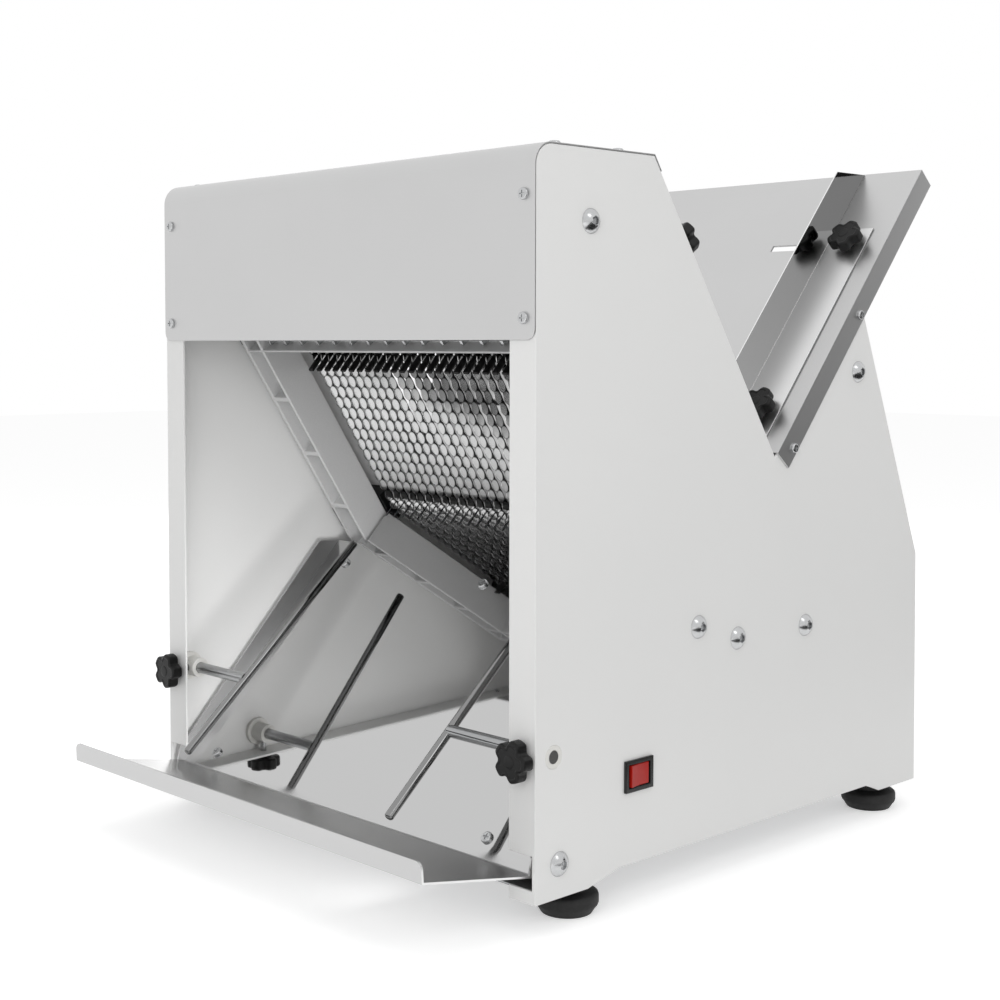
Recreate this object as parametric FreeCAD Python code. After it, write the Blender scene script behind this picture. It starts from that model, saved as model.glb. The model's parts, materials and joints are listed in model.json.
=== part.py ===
import FreeCAD, Part
import math
import os

# A bench bread slicer: two blade frames swing against each other on a crank drive.
# X runs to the right, Y to the back, Z up. Millimetres.
# While building, Y = 0 is the front of the columns and Z = 0 the lower edge of the side walls.

# Casing
half_width = 240.0
wall = 2.0
flange_width = 27.0
top_height = 557.4
front_top_radius = 16.0
top_rear = (131.0, 557.4)
rear_shoulder = (514.8, 215.7)
rear_slope_top = (426.2, 429.6)
rear_bottom_y = 517.0
notch_low = 10.4
notch_high = 36.5
notch_wall = 3.0
floor_low = 8.0
floor_steps = (58.0, 76.0, 94.0, 436.0, 447.0, 457.0)
tray_seat = (8.0, 3.0)
foot_height = 24.0
depth_middle = 212.0
bore_depth = 7.0

# Front cover and sloped guard
cover_sheet = 1.6
cover_low = 415.4
cover_lip = 15.0
cover_corner = 8.0
cover_screw = (4.6, 6.0, 2.6)
cover_screw_x = half_width - 10.8
cover_screw_heights = (431.4, 521.0)
cover_screw_depths = (30.0, 100.0)
guard_sheet = 1.5
guard_top = -188.0
guard_low = -96.0
guard_fold = 24.0
guard_knob_x = half_width - 18.0
guard_knob_s = -128.0

# Blade frames: d runs to the back across the blades, s down along them
blade_angle = 56.4
s_zero = 184.0
middle_d = 333.0
frame_gap = 16.0
frame_depth = 37.0
frame_front_d = middle_d - frame_gap / 2 - frame_depth
rail_in = half_width - 47.0
rail_out = half_width - 20.0
frame_top = -140.0
frame_bottom = 151.0
window_top = -110.0
window_bottom = 131.0
rib_places = (-55.0, 10.0, 75.0)
rib = 5.0
pocket_wall = 3.6
pocket_depth = 14.0
bar_edge = 2.6
groove_d = frame_front_d + 20.0
groove_width = 7.0
groove_depth = 5.0
slide_gap = 0.3
block_margin = 10.0
block_overlap = 3.0
block_places = ((-136.0, -112.0), (88.0, 112.0))
lug_width = 14.0
lug_boss = 12.0

# Blades and their hooks
blade_pitch = 12.0
blade_thick = 0.8
blade_width = 8.5
blade_stagger = 0.4
blade_room = 7.0
blade_count = 2 * round((rail_in - blade_room) / blade_pitch)
blade_end = 6.0
lobe_pitch = 12.7
lobe_depth = 2.4
lobe_steps = (0.0, 0.07, 0.18, 0.33, 0.5, 0.67, 0.82, 0.93)
back_wave = 0.5
hook_thick = 3.0
hook_bar = 5.0
hook_sheet = 1.6
hook_reach = 6.0
hook_rise = 9.0

# Top comb
comb_tip = (middle_d - 16.0, -70.0)
comb_slope = -0.2757
comb_high = 2.6
comb_finger = 7.0
comb_rear = middle_d + 81.0
comb_spine = 28.0
comb_gap = 2.0

# Crank drive
pin_s = 186.0
crank_s = 300.0
crank_radius = 10.0
rod_x = 60.0
rod_thick = 10.0
cheek = 5.5
wrist_pin_radius = 5.0
crank_pin_radius = 7.0
shaft_radius = 10.0
run_fit = 0.08
disc_radius = 24.0
disc_in = 44.0
disc_out = 54.0
plate_in = 24.0
plate_out = 34.0
plate_rim = 9.5
plate_clear = 1.0
bearing_radius = 21.0
bearing_rim = 5.0
rod_small = 11.0
rod_big = 15.0
rod_half = 7.0
pulley_hub = 17.0
pulley_hub_half = 14.0
pulley_hole = 8.0
pulley_hole_place = 30.0
pulley_radius = 50.0
pulley_half = 8.0
motor_yz = (440.0, 110.0)
motor_radius = 55.0
motor_x = (28.0, 178.0)
motor_bell = 18.0
motor_foot = (42.0, 25.0)
motor_box = (30.0, 45.0, 18.0)
fin_pitch = 12.5
fin_gap = 3.0
fin_depth = 2.5
bridge_top = 45.0
bridge_sheet = 3.0
bridge_half = 46.0
bridge_out = 9.0
bridge_toe = 18.0
motor_pulley_radius = 22.0
motor_shaft_radius = 7.0
belt_half = 4.6
belt_depth = 6.2
groove_drop = 7.0

# Bars between the walls, with their bolts
bar_radius = 12.5
bar_places = {
    "top": (58.3, 503.8),
    "rear": (414.4, 387.5),
    "chute": (189.3, 184.3),
    "drive_front": (241.0, 168.9),
    "drive_rear": (337.0, 168.4),
    "tray": (26.0, 26.3),
}
bar_sizes = {"chute": 12.0, "tray": 4.4}
bolt_radius = 5.0
tray_bolt_radius = 2.5
bolt_head = 9.8
bolt_dome = 5.6
bolt_length = 28.0
bolt_socket = 3.5

# Infeed tray, its side guides and knobs
tray_start = (292.1, 320.4)
tray_angle = 48.96
tray_length = 337.0
tray_sheet = 2.0
tray_flange = 20.9
tongue_half = rail_in - 5.0
tongue_length = 72.5
tray_screw = (4.2, 5.0, 2.4)
tray_screw_places = ((17.5, -15.3), (168.5, -13.9))
guide_wall_x = half_width - 60.0
guide_out = half_width - 17.0
guide_sheet = 1.5
guide_lift = 0.2
guide_nut = 8.0
guide_nut_thick = 5.0
guide_height = 35.0
guide_start = 14.0
guide_base_end = 262.0
guide_end = tray_length - 1.0
guide_travel = 84.0
guide_knob_x = half_width - 34.0
guide_knob_places = (43.0, 243.0)
slot_half = 3.6
stud_radius = 3.0
knob_radius = 16.0
knob_thick = 11.0
knob_lobes = 5
knob_dent = 8.0
knob_dent_place = 19.0
knob_neck = 4.0
knob_neck_radius = 6.5

# Delivery plate and catch tray
bend = (10.3, 18.9)
chute_angle = 45.98
chute_wide = 269.5
chute_long = 329.0
chute_sheet = 1.6
chute_flange = ((253.6, 18.3), (20.5, 12.6))
chute_screw = (5.0, 7.0, 2.6)
chute_screw_x = half_width - 43.0
catch_screw_x = (46.0 - half_width, half_width - 72.0)
catch_half = half_width - 7.8
catch_angle = 10.4
catch_length = 114.6
catch_lip = 15.0
lip_corner = 6.0
catch_lean = 4.13
catch_rise = (8.0, 14.0)
slot_length = 23.0
slot_width = 3.0

# Delivery guide rods
shaft_yz = (20.0, 107.5)
side_shaft_radius = 5.0
rod_ends = ((-44.5, 50.5), (149.5, 222.0))
rod_radius = 3.8
rod_places = {"left": -146.2, "right": 126.8}
bushing_radius = 9.0
bushing_flange = 13.0
bushing_length = 20.0
bushing_rim = 4.0
rod_knob_x = half_width - 12.5

# Crumb drawer
drawer_half = half_width - 70.0
drawer_front = 152.0
drawer_back = rear_bottom_y - 4.0
drawer_low = floor_low + wall + 0.3
drawer_high = 32.0
drawer_sheet = 1.2
drawer_lip = 8.0
drawer_face = 1.4
drawer_joint = 20.0
runner_gap = 1.0
runner_sheet = 1.5
runner_high = 12.0
pull_half = 45.0
pull_reach = 11.0
pull_heights = (18.0, 27.5)
pull_sheet = 1.5

# Rear panel and base plate
rear_sheet = 1.5
rear_tuck = 0.5
rear_lap = 6.0
mouth_gap = 4.0
vent_x = 60.0
vent_half = 45.0
vent_low = 80.0
vent_pitch = 12.0
vent_high = 5.0
vent_rows = 8
rear_screw = (4.2, 6.0, 2.4)
rear_screw_x = half_width - 14.0
rear_screw_heights = (70.0, 180.0)
base_front = 1.0
base_back = 2.0
base_rim = (40.0, 20.0, 22.0)

# Switch and mains inlet
switch_yz = (115.0, 77.8)
switch_bezel_size = (33.0, 25.0)
switch_body_size = (28.0, 21.0)
switch_rim = 2.4
switch_deep = 18.0
switch_wall = 1.5
rocker_tilt = 10.0
rocker_gap = (1.3, 0.5)
rocker_depth = 5.5
rocker_face = 2.0
rocker_pivot = 3.0
rocker_pivot_radius = 2.0
inlet_xz = (150.0, 150.0)
inlet_rim = (24.0, 14.0, 2.5)
inlet_body = (14.0, 10.0, 22.0)
inlet_wall = 2.0
inlet_pin = (7.0, 1.0, 2.5)

# Feet
foot_x = half_width - 26.0
foot_places = (62.0, 480.0)
foot_neck = 17.0
foot_radius = 25.0
foot_sole = 20.5
foot_steps = (-4.0, -8.0, -12.0, -17.0, -21.5)

blade_cos = math.cos(math.radians(blade_angle))
blade_sin = math.sin(math.radians(blade_angle))
tray_cos = math.cos(math.radians(tray_angle))
tray_sin = math.sin(math.radians(tray_angle))
chute_cos = math.cos(math.radians(chute_angle))
chute_sin = math.sin(math.radians(chute_angle))
catch_cos = math.cos(math.radians(catch_angle))
catch_sin = math.sin(math.radians(catch_angle))


def on_blade(d, s):
    """Side-view place of a point given across (d) and down (s) the blades."""
    down = s - s_zero
    return (blade_sin * d + blade_cos * down, blade_cos * d - blade_sin * down)


def on_tray(along, high):
    """Side-view place of a point on the infeed tray."""
    y = tray_start[0] + along * tray_cos - high * tray_sin
    return (y, tray_start[1] + along * tray_sin + high * tray_cos)


def on_chute(along, high):
    """Side-view place of a point on the delivery plate."""
    y = bend[0] + along * chute_cos - high * chute_sin
    return (y, bend[1] + along * chute_sin + high * chute_cos)


def on_catch(along, high):
    """Side-view place of a point on the catch tray, counted to the front."""
    y = bend[0] - along * catch_cos + high * catch_sin
    return (y, bend[1] + along * catch_sin + high * catch_cos)


def side_prism(points, x0, x1):
    """Straight body with a side-view outline, from x0 to x1."""
    corners = [FreeCAD.Vector(x0, y, z) for y, z in points]
    corners.append(corners[0])
    face = Part.Face(Part.makePolygon(corners))
    return face.extrude(FreeCAD.Vector(x1 - x0, 0, 0))


def block(x0, x1, y0, y1, z0, z1):
    return Part.makeBox(x1 - x0, y1 - y0, z1 - z0, FreeCAD.Vector(x0, y0, z0))


def blade_block(x0, x1, d0, d1, s0, s1):
    corners = [(d0, s0), (d1, s0), (d1, s1), (d0, s1)]
    return side_prism([on_blade(d, s) for d, s in corners], x0, x1)


def tray_block(x0, x1, a0, a1, h0, h1):
    corners = [(a0, h0), (a1, h0), (a1, h1), (a0, h1)]
    return side_prism([on_tray(a, h) for a, h in corners], x0, x1)


def chute_block(x0, x1, a0, a1, h0, h1):
    corners = [(a0, h0), (a1, h0), (a1, h1), (a0, h1)]
    return side_prism([on_chute(a, h) for a, h in corners], x0, x1)


def x_rod(place, radius, x0, x1):
    start = FreeCAD.Vector(x0, place[0], place[1])
    return Part.makeCylinder(radius, x1 - x0, start, FreeCAD.Vector(1, 0, 0))


def rod_between(p, q, radius):
    start = FreeCAD.Vector(*p)
    way = FreeCAD.Vector(*q) - start
    return Part.makeCylinder(radius, way.Length, start, way)


def mirrored(shape):
    return shape.mirror(FreeCAD.Vector(0, 0, 0), FreeCAD.Vector(1, 0, 0))


def fused(pieces):
    return pieces[0].multiFuse(pieces[1:]).removeSplitter()


def meet(p, way, q, other):
    """Crossing point of two lines in the side view."""
    span = way[0] * other[1] - way[1] * other[0]
    k = ((q[0] - p[0]) * other[1] - (q[1] - p[1]) * other[0]) / span
    return (p[0] + k * way[0], p[1] + k * way[1])


def moved(p, way, distance):
    return (p[0] + way[0] * distance, p[1] + way[1] * distance)


def rounded(shape, radius, wanted):
    edges = [edge for edge in shape.Edges if wanted(edge)]
    return shape.makeFillet(radius, edges)


def along_x_at(y, z):
    """Test for an edge that runs along X through one side-view point."""
    def test(edge):
        box = edge.BoundBox
        near = abs(box.YMin - y) < 0.2 and abs(box.ZMin - z) < 0.2
        return near and box.YLength < 0.2 and box.ZLength < 0.2
    return test


def export(node, shape):
    place = FreeCAD.Vector(0, -depth_middle, foot_height)
    done = shape.copy()
    done.translate(place)
    done.exportStep("parts/" + node + ".step")


slope_way = (blade_cos, -blade_sin)
slope_out = (blade_sin, blade_cos)
tray_way = (tray_cos, tray_sin)
tray_under = on_tray(0, -tray_sheet)
v_bottom = meet(top_rear, slope_way, tray_under, tray_way)
rear_drop = (rear_shoulder[0] - rear_slope_top[0], rear_shoulder[1] - rear_slope_top[1])
rear_drop_length = math.hypot(*rear_drop)
rear_way = (rear_drop[0] / rear_drop_length, rear_drop[1] / rear_drop_length)
rear_out = (-rear_way[1], rear_way[0])
rear_corner = meet(rear_shoulder, rear_way, tray_under, tray_way)
slope_d = blade_sin * top_rear[0] + blade_cos * top_rear[1]


# Side walls with their folded edges
def wall_outline():
    middle = floor_low / 2
    fronts = zip(floor_steps[:3], (0, middle, floor_low))
    rears = zip(floor_steps[3:], (floor_low, middle, 0))
    foot_step = [(0, 0)] + list(fronts)
    rear_step = list(rears) + [(rear_bottom_y, 0)]
    sides = [rear_shoulder, rear_corner, v_bottom, top_rear, (0, top_height)]
    return foot_step + rear_step + sides


def wall_hollow():
    """Everything behind the folded edges of a side wall."""
    slope_in = moved(top_rear, slope_out, -wall)
    top_in = meet(slope_in, slope_way, (0, top_height - wall), (1, 0))
    bottom_in = meet(slope_in, slope_way, tray_under, tray_way)
    shoulder_in = moved(rear_shoulder, rear_out, -wall)
    low_in = meet(shoulder_in, rear_way, (rear_bottom_y - wall, 0), (0, 1))
    over = on_tray(*tray_seat)
    over_end = meet(over, tray_way, shoulder_in, rear_way)
    front = [(wall, -5), (wall, top_height - wall), top_in, bottom_in, v_bottom, over, over_end]
    return front + [low_in, (rear_bottom_y - wall, -5)]


def side_wall():
    inner = half_width - flange_width
    shell = side_prism(wall_outline(), inner, half_width)
    shell = rounded(shell, front_top_radius, along_x_at(0, top_height))
    hollow = side_prism(wall_hollow(), inner - 1, half_width - wall)
    hollow = rounded(hollow, front_top_radius - wall, along_x_at(wall, top_height - wall))
    shell = shell.cut(hollow)
    notch = block(inner - 1, half_width - notch_wall, -1, wall + 1, notch_low, notch_high)
    cuts = [notch]
    for name, place in bar_places.items():
        radius = tray_bolt_radius if name == "tray" else bolt_radius
        cuts.append(x_rod(place, radius, half_width - 5, half_width + 1))
    cuts.append(x_rod(shaft_yz, bushing_radius, half_width - 5, half_width + 1))
    stud = (rod_knob_x, -1, shaft_yz[1])
    cuts.append(rod_between(stud, (rod_knob_x, wall + 1, shaft_yz[1]), stud_radius + slide_gap))
    knob_seat = on_blade(slope_d - wall - 1, guard_knob_s)
    knob_out = on_blade(slope_d + 1, guard_knob_s)
    low = (guard_knob_x,) + knob_seat
    cuts.append(rod_between(low, (guard_knob_x,) + knob_out, stud_radius + slide_gap))
    return shell.cut(Part.makeCompound(cuts))


def switch_opening():
    y, z = switch_yz
    half_y = switch_body_size[0] / 2
    half_z = switch_body_size[1] / 2
    return block(half_width - 5, half_width + 1, y - half_y, y + half_y, z - half_z, z + half_z)


# Front cover over the top, and the sloped guard behind it
def front_cover():
    slope_top = moved(top_rear, slope_out, cover_sheet)
    top = top_height + cover_sheet
    rear = meet(slope_top, slope_way, (0, top), (1, 0))
    lip = moved(rear, slope_way, cover_lip)
    outer = [(-cover_sheet, cover_low), (-cover_sheet, top), rear, lip]
    lip_in = moved(lip, slope_out, -cover_sheet)
    inner = [lip_in, top_rear, (0, top_height), (0, cover_low)]
    sheet = side_prism(outer + inner, -half_width, half_width)
    sheet = rounded(sheet, front_top_radius + cover_sheet, along_x_at(-cover_sheet, top))
    sheet = rounded(sheet, front_top_radius, along_x_at(0, top_height))

    def lower_corner(edge):
        box = edge.BoundBox
        low = abs(box.ZMin - cover_low) < 0.1 and box.ZLength < 0.1
        return low and box.XLength < 0.1

    return rounded(sheet, cover_corner, lower_corner)


def slope_guard():
    low = slope_d
    half = half_width - wall - 1
    face = blade_block(-half, half, low, low + guard_sheet, guard_top, guard_low)
    half_fold = rail_in - block_overlap
    fold = blade_block(-half_fold, half_fold, low - guard_fold, low, guard_low - guard_sheet, guard_low)
    guard = fused([face, fold])
    for side in (-1, 1):
        x = side * guard_knob_x
        start = (x,) + on_blade(low - 1, guard_knob_s)
        end = (x,) + on_blade(low + guard_sheet + 1, guard_knob_s)
        guard = guard.cut(rod_between(start, end, stud_radius + slide_gap))
    return guard


def comb_centre(d):
    return comb_tip[1] + comb_slope * (d - comb_tip[0])


def upper_comb():
    """Fingers between the blades that hold the crust down."""
    pieces = []
    spine_front = comb_rear - comb_spine
    spine_half = tongue_half
    spine_low = comb_centre(comb_rear) + comb_high / 2 + comb_gap
    pieces.append(blade_block(-spine_half, spine_half, spine_front, comb_rear, guard_low, spine_low))
    finger_rear = spine_front + 2 * comb_gap
    tip = comb_tip[0]
    corners = [
        (tip, comb_tip[1] - comb_high / 2),
        (finger_rear, comb_centre(finger_rear) - comb_high / 2),
        (finger_rear, comb_centre(finger_rear) + comb_high / 2),
        (tip, comb_tip[1] + comb_high / 2),
    ]
    outline = [on_blade(d, s) for d, s in corners]
    first = -blade_pitch * (blade_count - 2) / 2
    for number in range(blade_count - 1):
        x = first + number * blade_pitch
        pieces.append(side_prism(outline, x - comb_finger / 2, x + comb_finger / 2))
    return fused(pieces)


# Bars and bolts that tie the walls together
def bar_size(name):
    return bar_sizes.get(name, bar_radius)


def bolt_size(name):
    return tray_bolt_radius if name == "tray" else bolt_radius


def tie_bar(name):
    place = bar_places[name]
    end = half_width - wall
    bar = x_rod(place, bar_size(name), -end, end)
    bore = x_rod(place, bolt_size(name), end - bolt_length, end)
    return bar.cut(fused([bore, mirrored(bore)]))


def panel_bolts():
    bolts = []
    for name, place in bar_places.items():
        end = half_width - wall
        shank = x_rod(place, bolt_size(name), end - bolt_length + 2, half_width)
        dome_radius = (bolt_head ** 2 + bolt_dome ** 2) / (2 * bolt_dome)
        middle = FreeCAD.Vector(half_width + bolt_dome - dome_radius, place[0], place[1])
        dome = Part.makeSphere(dome_radius, middle)
        head = dome.common(x_rod(place, bolt_head, half_width, half_width + bolt_dome + 1))
        points = []
        for corner in range(6):
            angle = math.radians(60 * corner + 30)
            y = place[0] + bolt_socket * math.cos(angle)
            points.append((y, place[1] + bolt_socket * math.sin(angle)))
        socket = side_prism(points, half_width + 1.6, half_width + bolt_dome + 1)
        bolts.append(fused([shank, head]).cut(socket))
    return Part.makeCompound(bolts)


def screw(place, way, size):
    """Pan-head screw of a head radius, length and head height, its head outside the given place."""
    radius, length, high = size
    direction = FreeCAD.Vector(*way).normalize()
    base = FreeCAD.Vector(*place)
    head = Part.makeCylinder(radius, high, base, direction)
    rim = [edge for edge in head.Edges if (edge.CenterOfMass - base).dot(direction) > high * 0.9]
    head = head.makeFillet(high * 0.55, rim)
    shank = Part.makeCylinder(radius * 0.5, length, base - direction * length, direction)
    bar = Part.makeBox(radius * 1.1, 0.9, 2.0, FreeCAD.Vector(-radius * 0.55, -0.45, 0))
    other = bar.copy()
    other.rotate(FreeCAD.Vector(0, 0, 0), FreeCAD.Vector(0, 0, 1), 90)
    cross = bar.fuse(other)
    turn = FreeCAD.Rotation(FreeCAD.Vector(0, 0, 1), direction)
    cross.Placement = FreeCAD.Placement(base + direction * (high * 0.5), turn)
    return head.fuse(shank).cut(cross)


def bore(place, way, size, depth):
    """Hole for a screw's shank, both ways from its seat."""
    start = FreeCAD.Vector(*place) - FreeCAD.Vector(*way).normalize() * depth
    end = FreeCAD.Vector(*place) + FreeCAD.Vector(*way).normalize() * depth
    return rod_between(start, end, size[0] * 0.5)


def cover_screw_spots():
    spots = []
    for x in (-cover_screw_x, cover_screw_x):
        for z in cover_screw_heights:
            spots.append(((x, -cover_sheet, z), (0, -1, 0)))
        for y in cover_screw_depths:
            spots.append(((x, y, top_height + cover_sheet), (0, 0, 1)))
    return spots


def cover_screws():
    return Part.makeCompound([screw(place, way, cover_screw) for place, way in cover_screw_spots()])


def cover_holes():
    spots = cover_screw_spots()
    return Part.makeCompound([bore(place, way, cover_screw, bore_depth) for place, way in spots])


# Star knob with its stud, pointing along one direction
def star_knob(seat, way, stud):
    knob = Part.makeCylinder(knob_radius, knob_thick)
    for lobe in range(knob_lobes):
        angle = math.radians(360 / knob_lobes * (lobe + 0.5) + 90)
        middle = (knob_dent_place * math.cos(angle), knob_dent_place * math.sin(angle), 0)
        knob = knob.cut(Part.makeCylinder(knob_dent, knob_thick, FreeCAD.Vector(*middle)))
    knob.translate(FreeCAD.Vector(0, 0, knob_neck))
    neck = Part.makeCylinder(knob_neck_radius, knob_neck)
    pin = Part.makeCylinder(stud_radius, stud + knob_neck, FreeCAD.Vector(0, 0, -stud))
    knob = knob.fuse([neck, pin]).removeSplitter()
    turn = FreeCAD.Rotation(FreeCAD.Vector(0, 0, 1), FreeCAD.Vector(*way))
    knob.Placement = FreeCAD.Placement(FreeCAD.Vector(*seat), turn)
    return knob


def slope_knob():
    seat = (guard_knob_x,) + on_blade(slope_d + guard_sheet + 0.2, guard_knob_s)
    return star_knob(seat, (0,) + slope_out, guard_sheet + wall + 8)


def guide_knob(along):
    seat = (guide_knob_x,) + on_tray(along, 2 * guide_lift + guide_sheet)
    stud = tray_sheet + guide_sheet + guide_nut_thick + 2
    return star_knob(seat, (0, -tray_sin, tray_cos), stud)


def rod_knob():
    seat = (rod_knob_x, -0.2, shaft_yz[1])
    return star_knob(seat, (0, -1, 0), shaft_yz[0] - side_shaft_radius - 0.5)


# Infeed tray and the two guides on it
def infeed_tray():
    out = half_width + tray_sheet
    floor = tray_block(-out, out, 0, tray_length, -tray_sheet, 0)
    tongue = tray_block(-tongue_half, tongue_half, -tongue_length, 1, -tray_sheet, 0)
    flange = tray_block(half_width, out, 0, tray_length, -tray_flange, 0)
    tray = fused([floor, tongue, flange, mirrored(flange)])
    cuts = []
    for along in guide_knob_places:
        low = guide_knob_x - guide_travel - stud_radius - 1
        high = guide_knob_x + stud_radius + 1
        slot = tray_block(low, high, along - slot_half, along + slot_half, -5, 5)
        cuts.append(slot)
        cuts.append(mirrored(slot))
    return tray.cut(Part.makeCompound(cuts))


def infeed_guide():
    top = guide_lift + guide_sheet
    base = tray_block(guide_wall_x, guide_out, guide_start, guide_base_end, guide_lift, top)
    level_end = guide_end - guide_height * tray_cos / tray_sin
    corners = [
        (guide_start, guide_lift), (guide_end, guide_lift), (level_end, guide_height), (guide_start, guide_height),
    ]
    outline = [on_tray(along, high) for along, high in corners]
    upright = side_prism(outline, guide_wall_x, guide_wall_x + guide_sheet)
    guide = fused([base, upright])
    nuts = []
    for along in guide_knob_places:
        low = (guide_knob_x,) + on_tray(along, -tray_sheet - 2 * guide_nut_thick)
        high = (guide_knob_x,) + on_tray(along, 2 * top)
        stud = rod_between(low, high, stud_radius + run_fit)
        guide = guide.cut(stud)
        x0, x1 = guide_knob_x - guide_nut, guide_knob_x + guide_nut
        nut_top = -tray_sheet - guide_lift
        nut_low = nut_top - guide_nut_thick
        nut = tray_block(x0, x1, along - guide_nut, along + guide_nut, nut_low, nut_top)
        nuts.append(nut.cut(stud))
    return Part.makeCompound([guide] + nuts)


def tray_screw_spots():
    out = half_width + tray_sheet
    spots = []
    for side in (-1, 1):
        for along, low in tray_screw_places:
            spots.append(((side * out,) + on_tray(along, low), (side, 0, 0)))
    return spots


def tray_screws():
    return Part.makeCompound([screw(place, way, tray_screw) for place, way in tray_screw_spots()])


def tray_holes():
    spots = tray_screw_spots()
    return Part.makeCompound([bore(place, way, tray_screw, bore_depth) for place, way in spots])


# Delivery plate that ends in the catch tray
def chute_side_flange():
    top = on_chute(chute_wide, 0)
    low = on_catch(catch_rise[0], 0)
    upper, lower = [on_chute(*point) for point in chute_flange]
    edge = [bend, top, upper, lower, on_catch(*catch_rise), low]
    return side_prism(edge, catch_half - chute_sheet, catch_half)


def catch_rim():
    """Front lip of the catch tray, leaning a little to the front."""
    lean = math.radians(catch_lean)
    up = (-math.sin(lean), math.cos(lean))
    front = (-math.cos(lean), -math.sin(lean))
    foot = on_catch(catch_length, 0)
    top = moved(foot, up, catch_lip)
    low = on_catch(catch_length, -chute_sheet)
    low_front = on_catch(catch_length + chute_sheet, -chute_sheet)
    rim = [foot, top, moved(top, front, chute_sheet), low_front, low]
    shape = side_prism(rim, -catch_half, catch_half)

    def upper_corner(edge):
        return edge.BoundBox.XLength < 0.1 and edge.BoundBox.ZMin > top[1] - chute_sheet
    return rounded(shape, lip_corner, upper_corner)


def delivery_plate():
    wide = chute_block(-catch_half, catch_half, 0, chute_wide, -chute_sheet, 0)
    narrow = chute_block(-tongue_half, tongue_half, chute_wide - 1, chute_long, -chute_sheet, 0)
    under = (bend[0], bend[1] - chute_sheet)
    catch = [bend, on_catch(catch_length, 0), on_catch(catch_length, -chute_sheet), under]
    floor = side_prism(catch + [on_chute(0, -chute_sheet)], -catch_half, catch_half)
    flange = chute_side_flange()
    plate = fused([wide, narrow, floor, catch_rim(), flange, mirrored(flange)])
    cuts = []
    low = chute_long - slot_length
    for number in range(blade_count):
        x = blade_x(number)
        half = slot_width / 2
        cuts.append(chute_block(x - half, x + half, low, chute_long + 1, -2 * chute_sheet, chute_sheet))
    return plate.cut(Part.makeCompound(cuts))


def over_bar(name):
    """Where on the delivery plate a bar's middle lies, counted up from the bend."""
    y, z = bar_places[name]
    return (y - bend[0]) * chute_cos + (z - bend[1]) * chute_sin


def chute_screw_spots():
    spots = [(x, over_bar("chute")) for x in (-chute_screw_x, 0, chute_screw_x)]
    spots += [(x, over_bar("tray")) for x in catch_screw_x]
    return [((x,) + on_chute(along, 0), (0, -chute_sin, chute_cos)) for x, along in spots]


def chute_screws():
    return Part.makeCompound([screw(place, way, chute_screw) for place, way in chute_screw_spots()])


def chute_holes():
    depth = chute_screw[1] + 0.5
    return Part.makeCompound([bore(place, way, chute_screw, depth) for place, way in chute_screw_spots()])


# Delivery guide rods on their side shafts
def side_shaft(side):
    """Shaft whose end is hollowed to the guide rod that is welded across it."""
    shaft = x_rod(shaft_yz, side_shaft_radius, abs(rod_places[side]), half_width)
    shaft = mirrored(shaft) if side == "left" else shaft
    return shaft.cut(guide_rod(side))


def guide_rod(side):
    x = rod_places[side]
    (y0, z0), (y1, z1) = rod_ends
    rod = rod_between((x, y0, z0), (x, y1, z1), rod_radius)
    return rod.makeFillet(rod_radius * 0.6, [edge for edge in rod.Edges if edge.Closed])


def bushings():
    outer = half_width - wall
    sleeve = x_rod(shaft_yz, bushing_radius, outer - bushing_length, half_width)
    rim = x_rod(shaft_yz, bushing_flange, outer - bushing_rim, outer)
    bushing = sleeve.fuse(rim).removeSplitter()
    inside = outer - 2 * bushing_length
    bushing = bushing.cut(x_rod(shaft_yz, side_shaft_radius + run_fit, inside, half_width + 1))
    stud = (rod_knob_x, 0, shaft_yz[1])
    end = (rod_knob_x, shaft_yz[0], shaft_yz[1])
    bushing = bushing.cut(rod_between(stud, end, stud_radius + run_fit))
    return Part.makeCompound([bushing, mirrored(bushing)])


# Blade frames
def blade_x(number):
    return (number - (blade_count - 1) / 2) * blade_pitch


def facing(d, front):
    """The rear frame is the front frame turned about the middle of the blades."""
    return d if front else 2 * middle_d - d


def frame_block(front, x0, x1, d0, d1, s0, s1):
    low, high = sorted((facing(d0, front), facing(d1, front)))
    return blade_block(x0, x1, low, high, s0, s1)


def rail_pockets(front):
    """Pockets between the ridges of both rails, and the long one along the top bar."""
    d0 = frame_front_d - 1
    d1 = frame_front_d + pocket_depth
    ends = [frame_top + rib, window_top - bar_edge, window_top]
    for place in rib_places:
        ends += [place - rib / 2, place + rib / 2]
    ends.append(window_bottom - rib)
    pockets = []
    for first, last in zip(ends[::2], ends[1::2]):
        pocket = frame_block(front, rail_in + pocket_wall, rail_out - pocket_wall, d0, d1, first, last)
        pockets += [pocket, mirrored(pocket)]
    pockets.append(frame_block(front, -rail_in, rail_in, d0, d1, ends[0], ends[1]))
    return pockets


def drive_lug(front):
    """Pair of cheeks that reach down to the pin of the connecting rod."""
    back = frame_front_d + frame_depth
    corners = [
        (back - lug_width, frame_bottom - 2),
        (back, frame_bottom - 2),
        (back, pin_s - lug_width),
        (middle_d, pin_s - lug_boss),
        (middle_d, pin_s + lug_boss),
        (back - 3, pin_s + lug_boss - 4),
        (back - lug_width, pin_s + lug_boss / 2 - lug_width),
    ]
    outline = [on_blade(facing(d, front), s) for d, s in corners]
    sign = -1 if front else 1
    pin = on_blade(middle_d, pin_s)
    cheeks = []
    inside = rod_thick / 2 + 0.5
    for x0 in (sign * rod_x - inside - cheek, sign * rod_x + inside):
        plate = side_prism(outline, x0, x0 + cheek)
        plate = plate.fuse(x_rod(pin, lug_boss, x0, x0 + cheek))
        cheeks.append(plate.cut(x_rod(pin, wrist_pin_radius, x0 - 1, x0 + cheek + 1)))
    return cheeks


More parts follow.
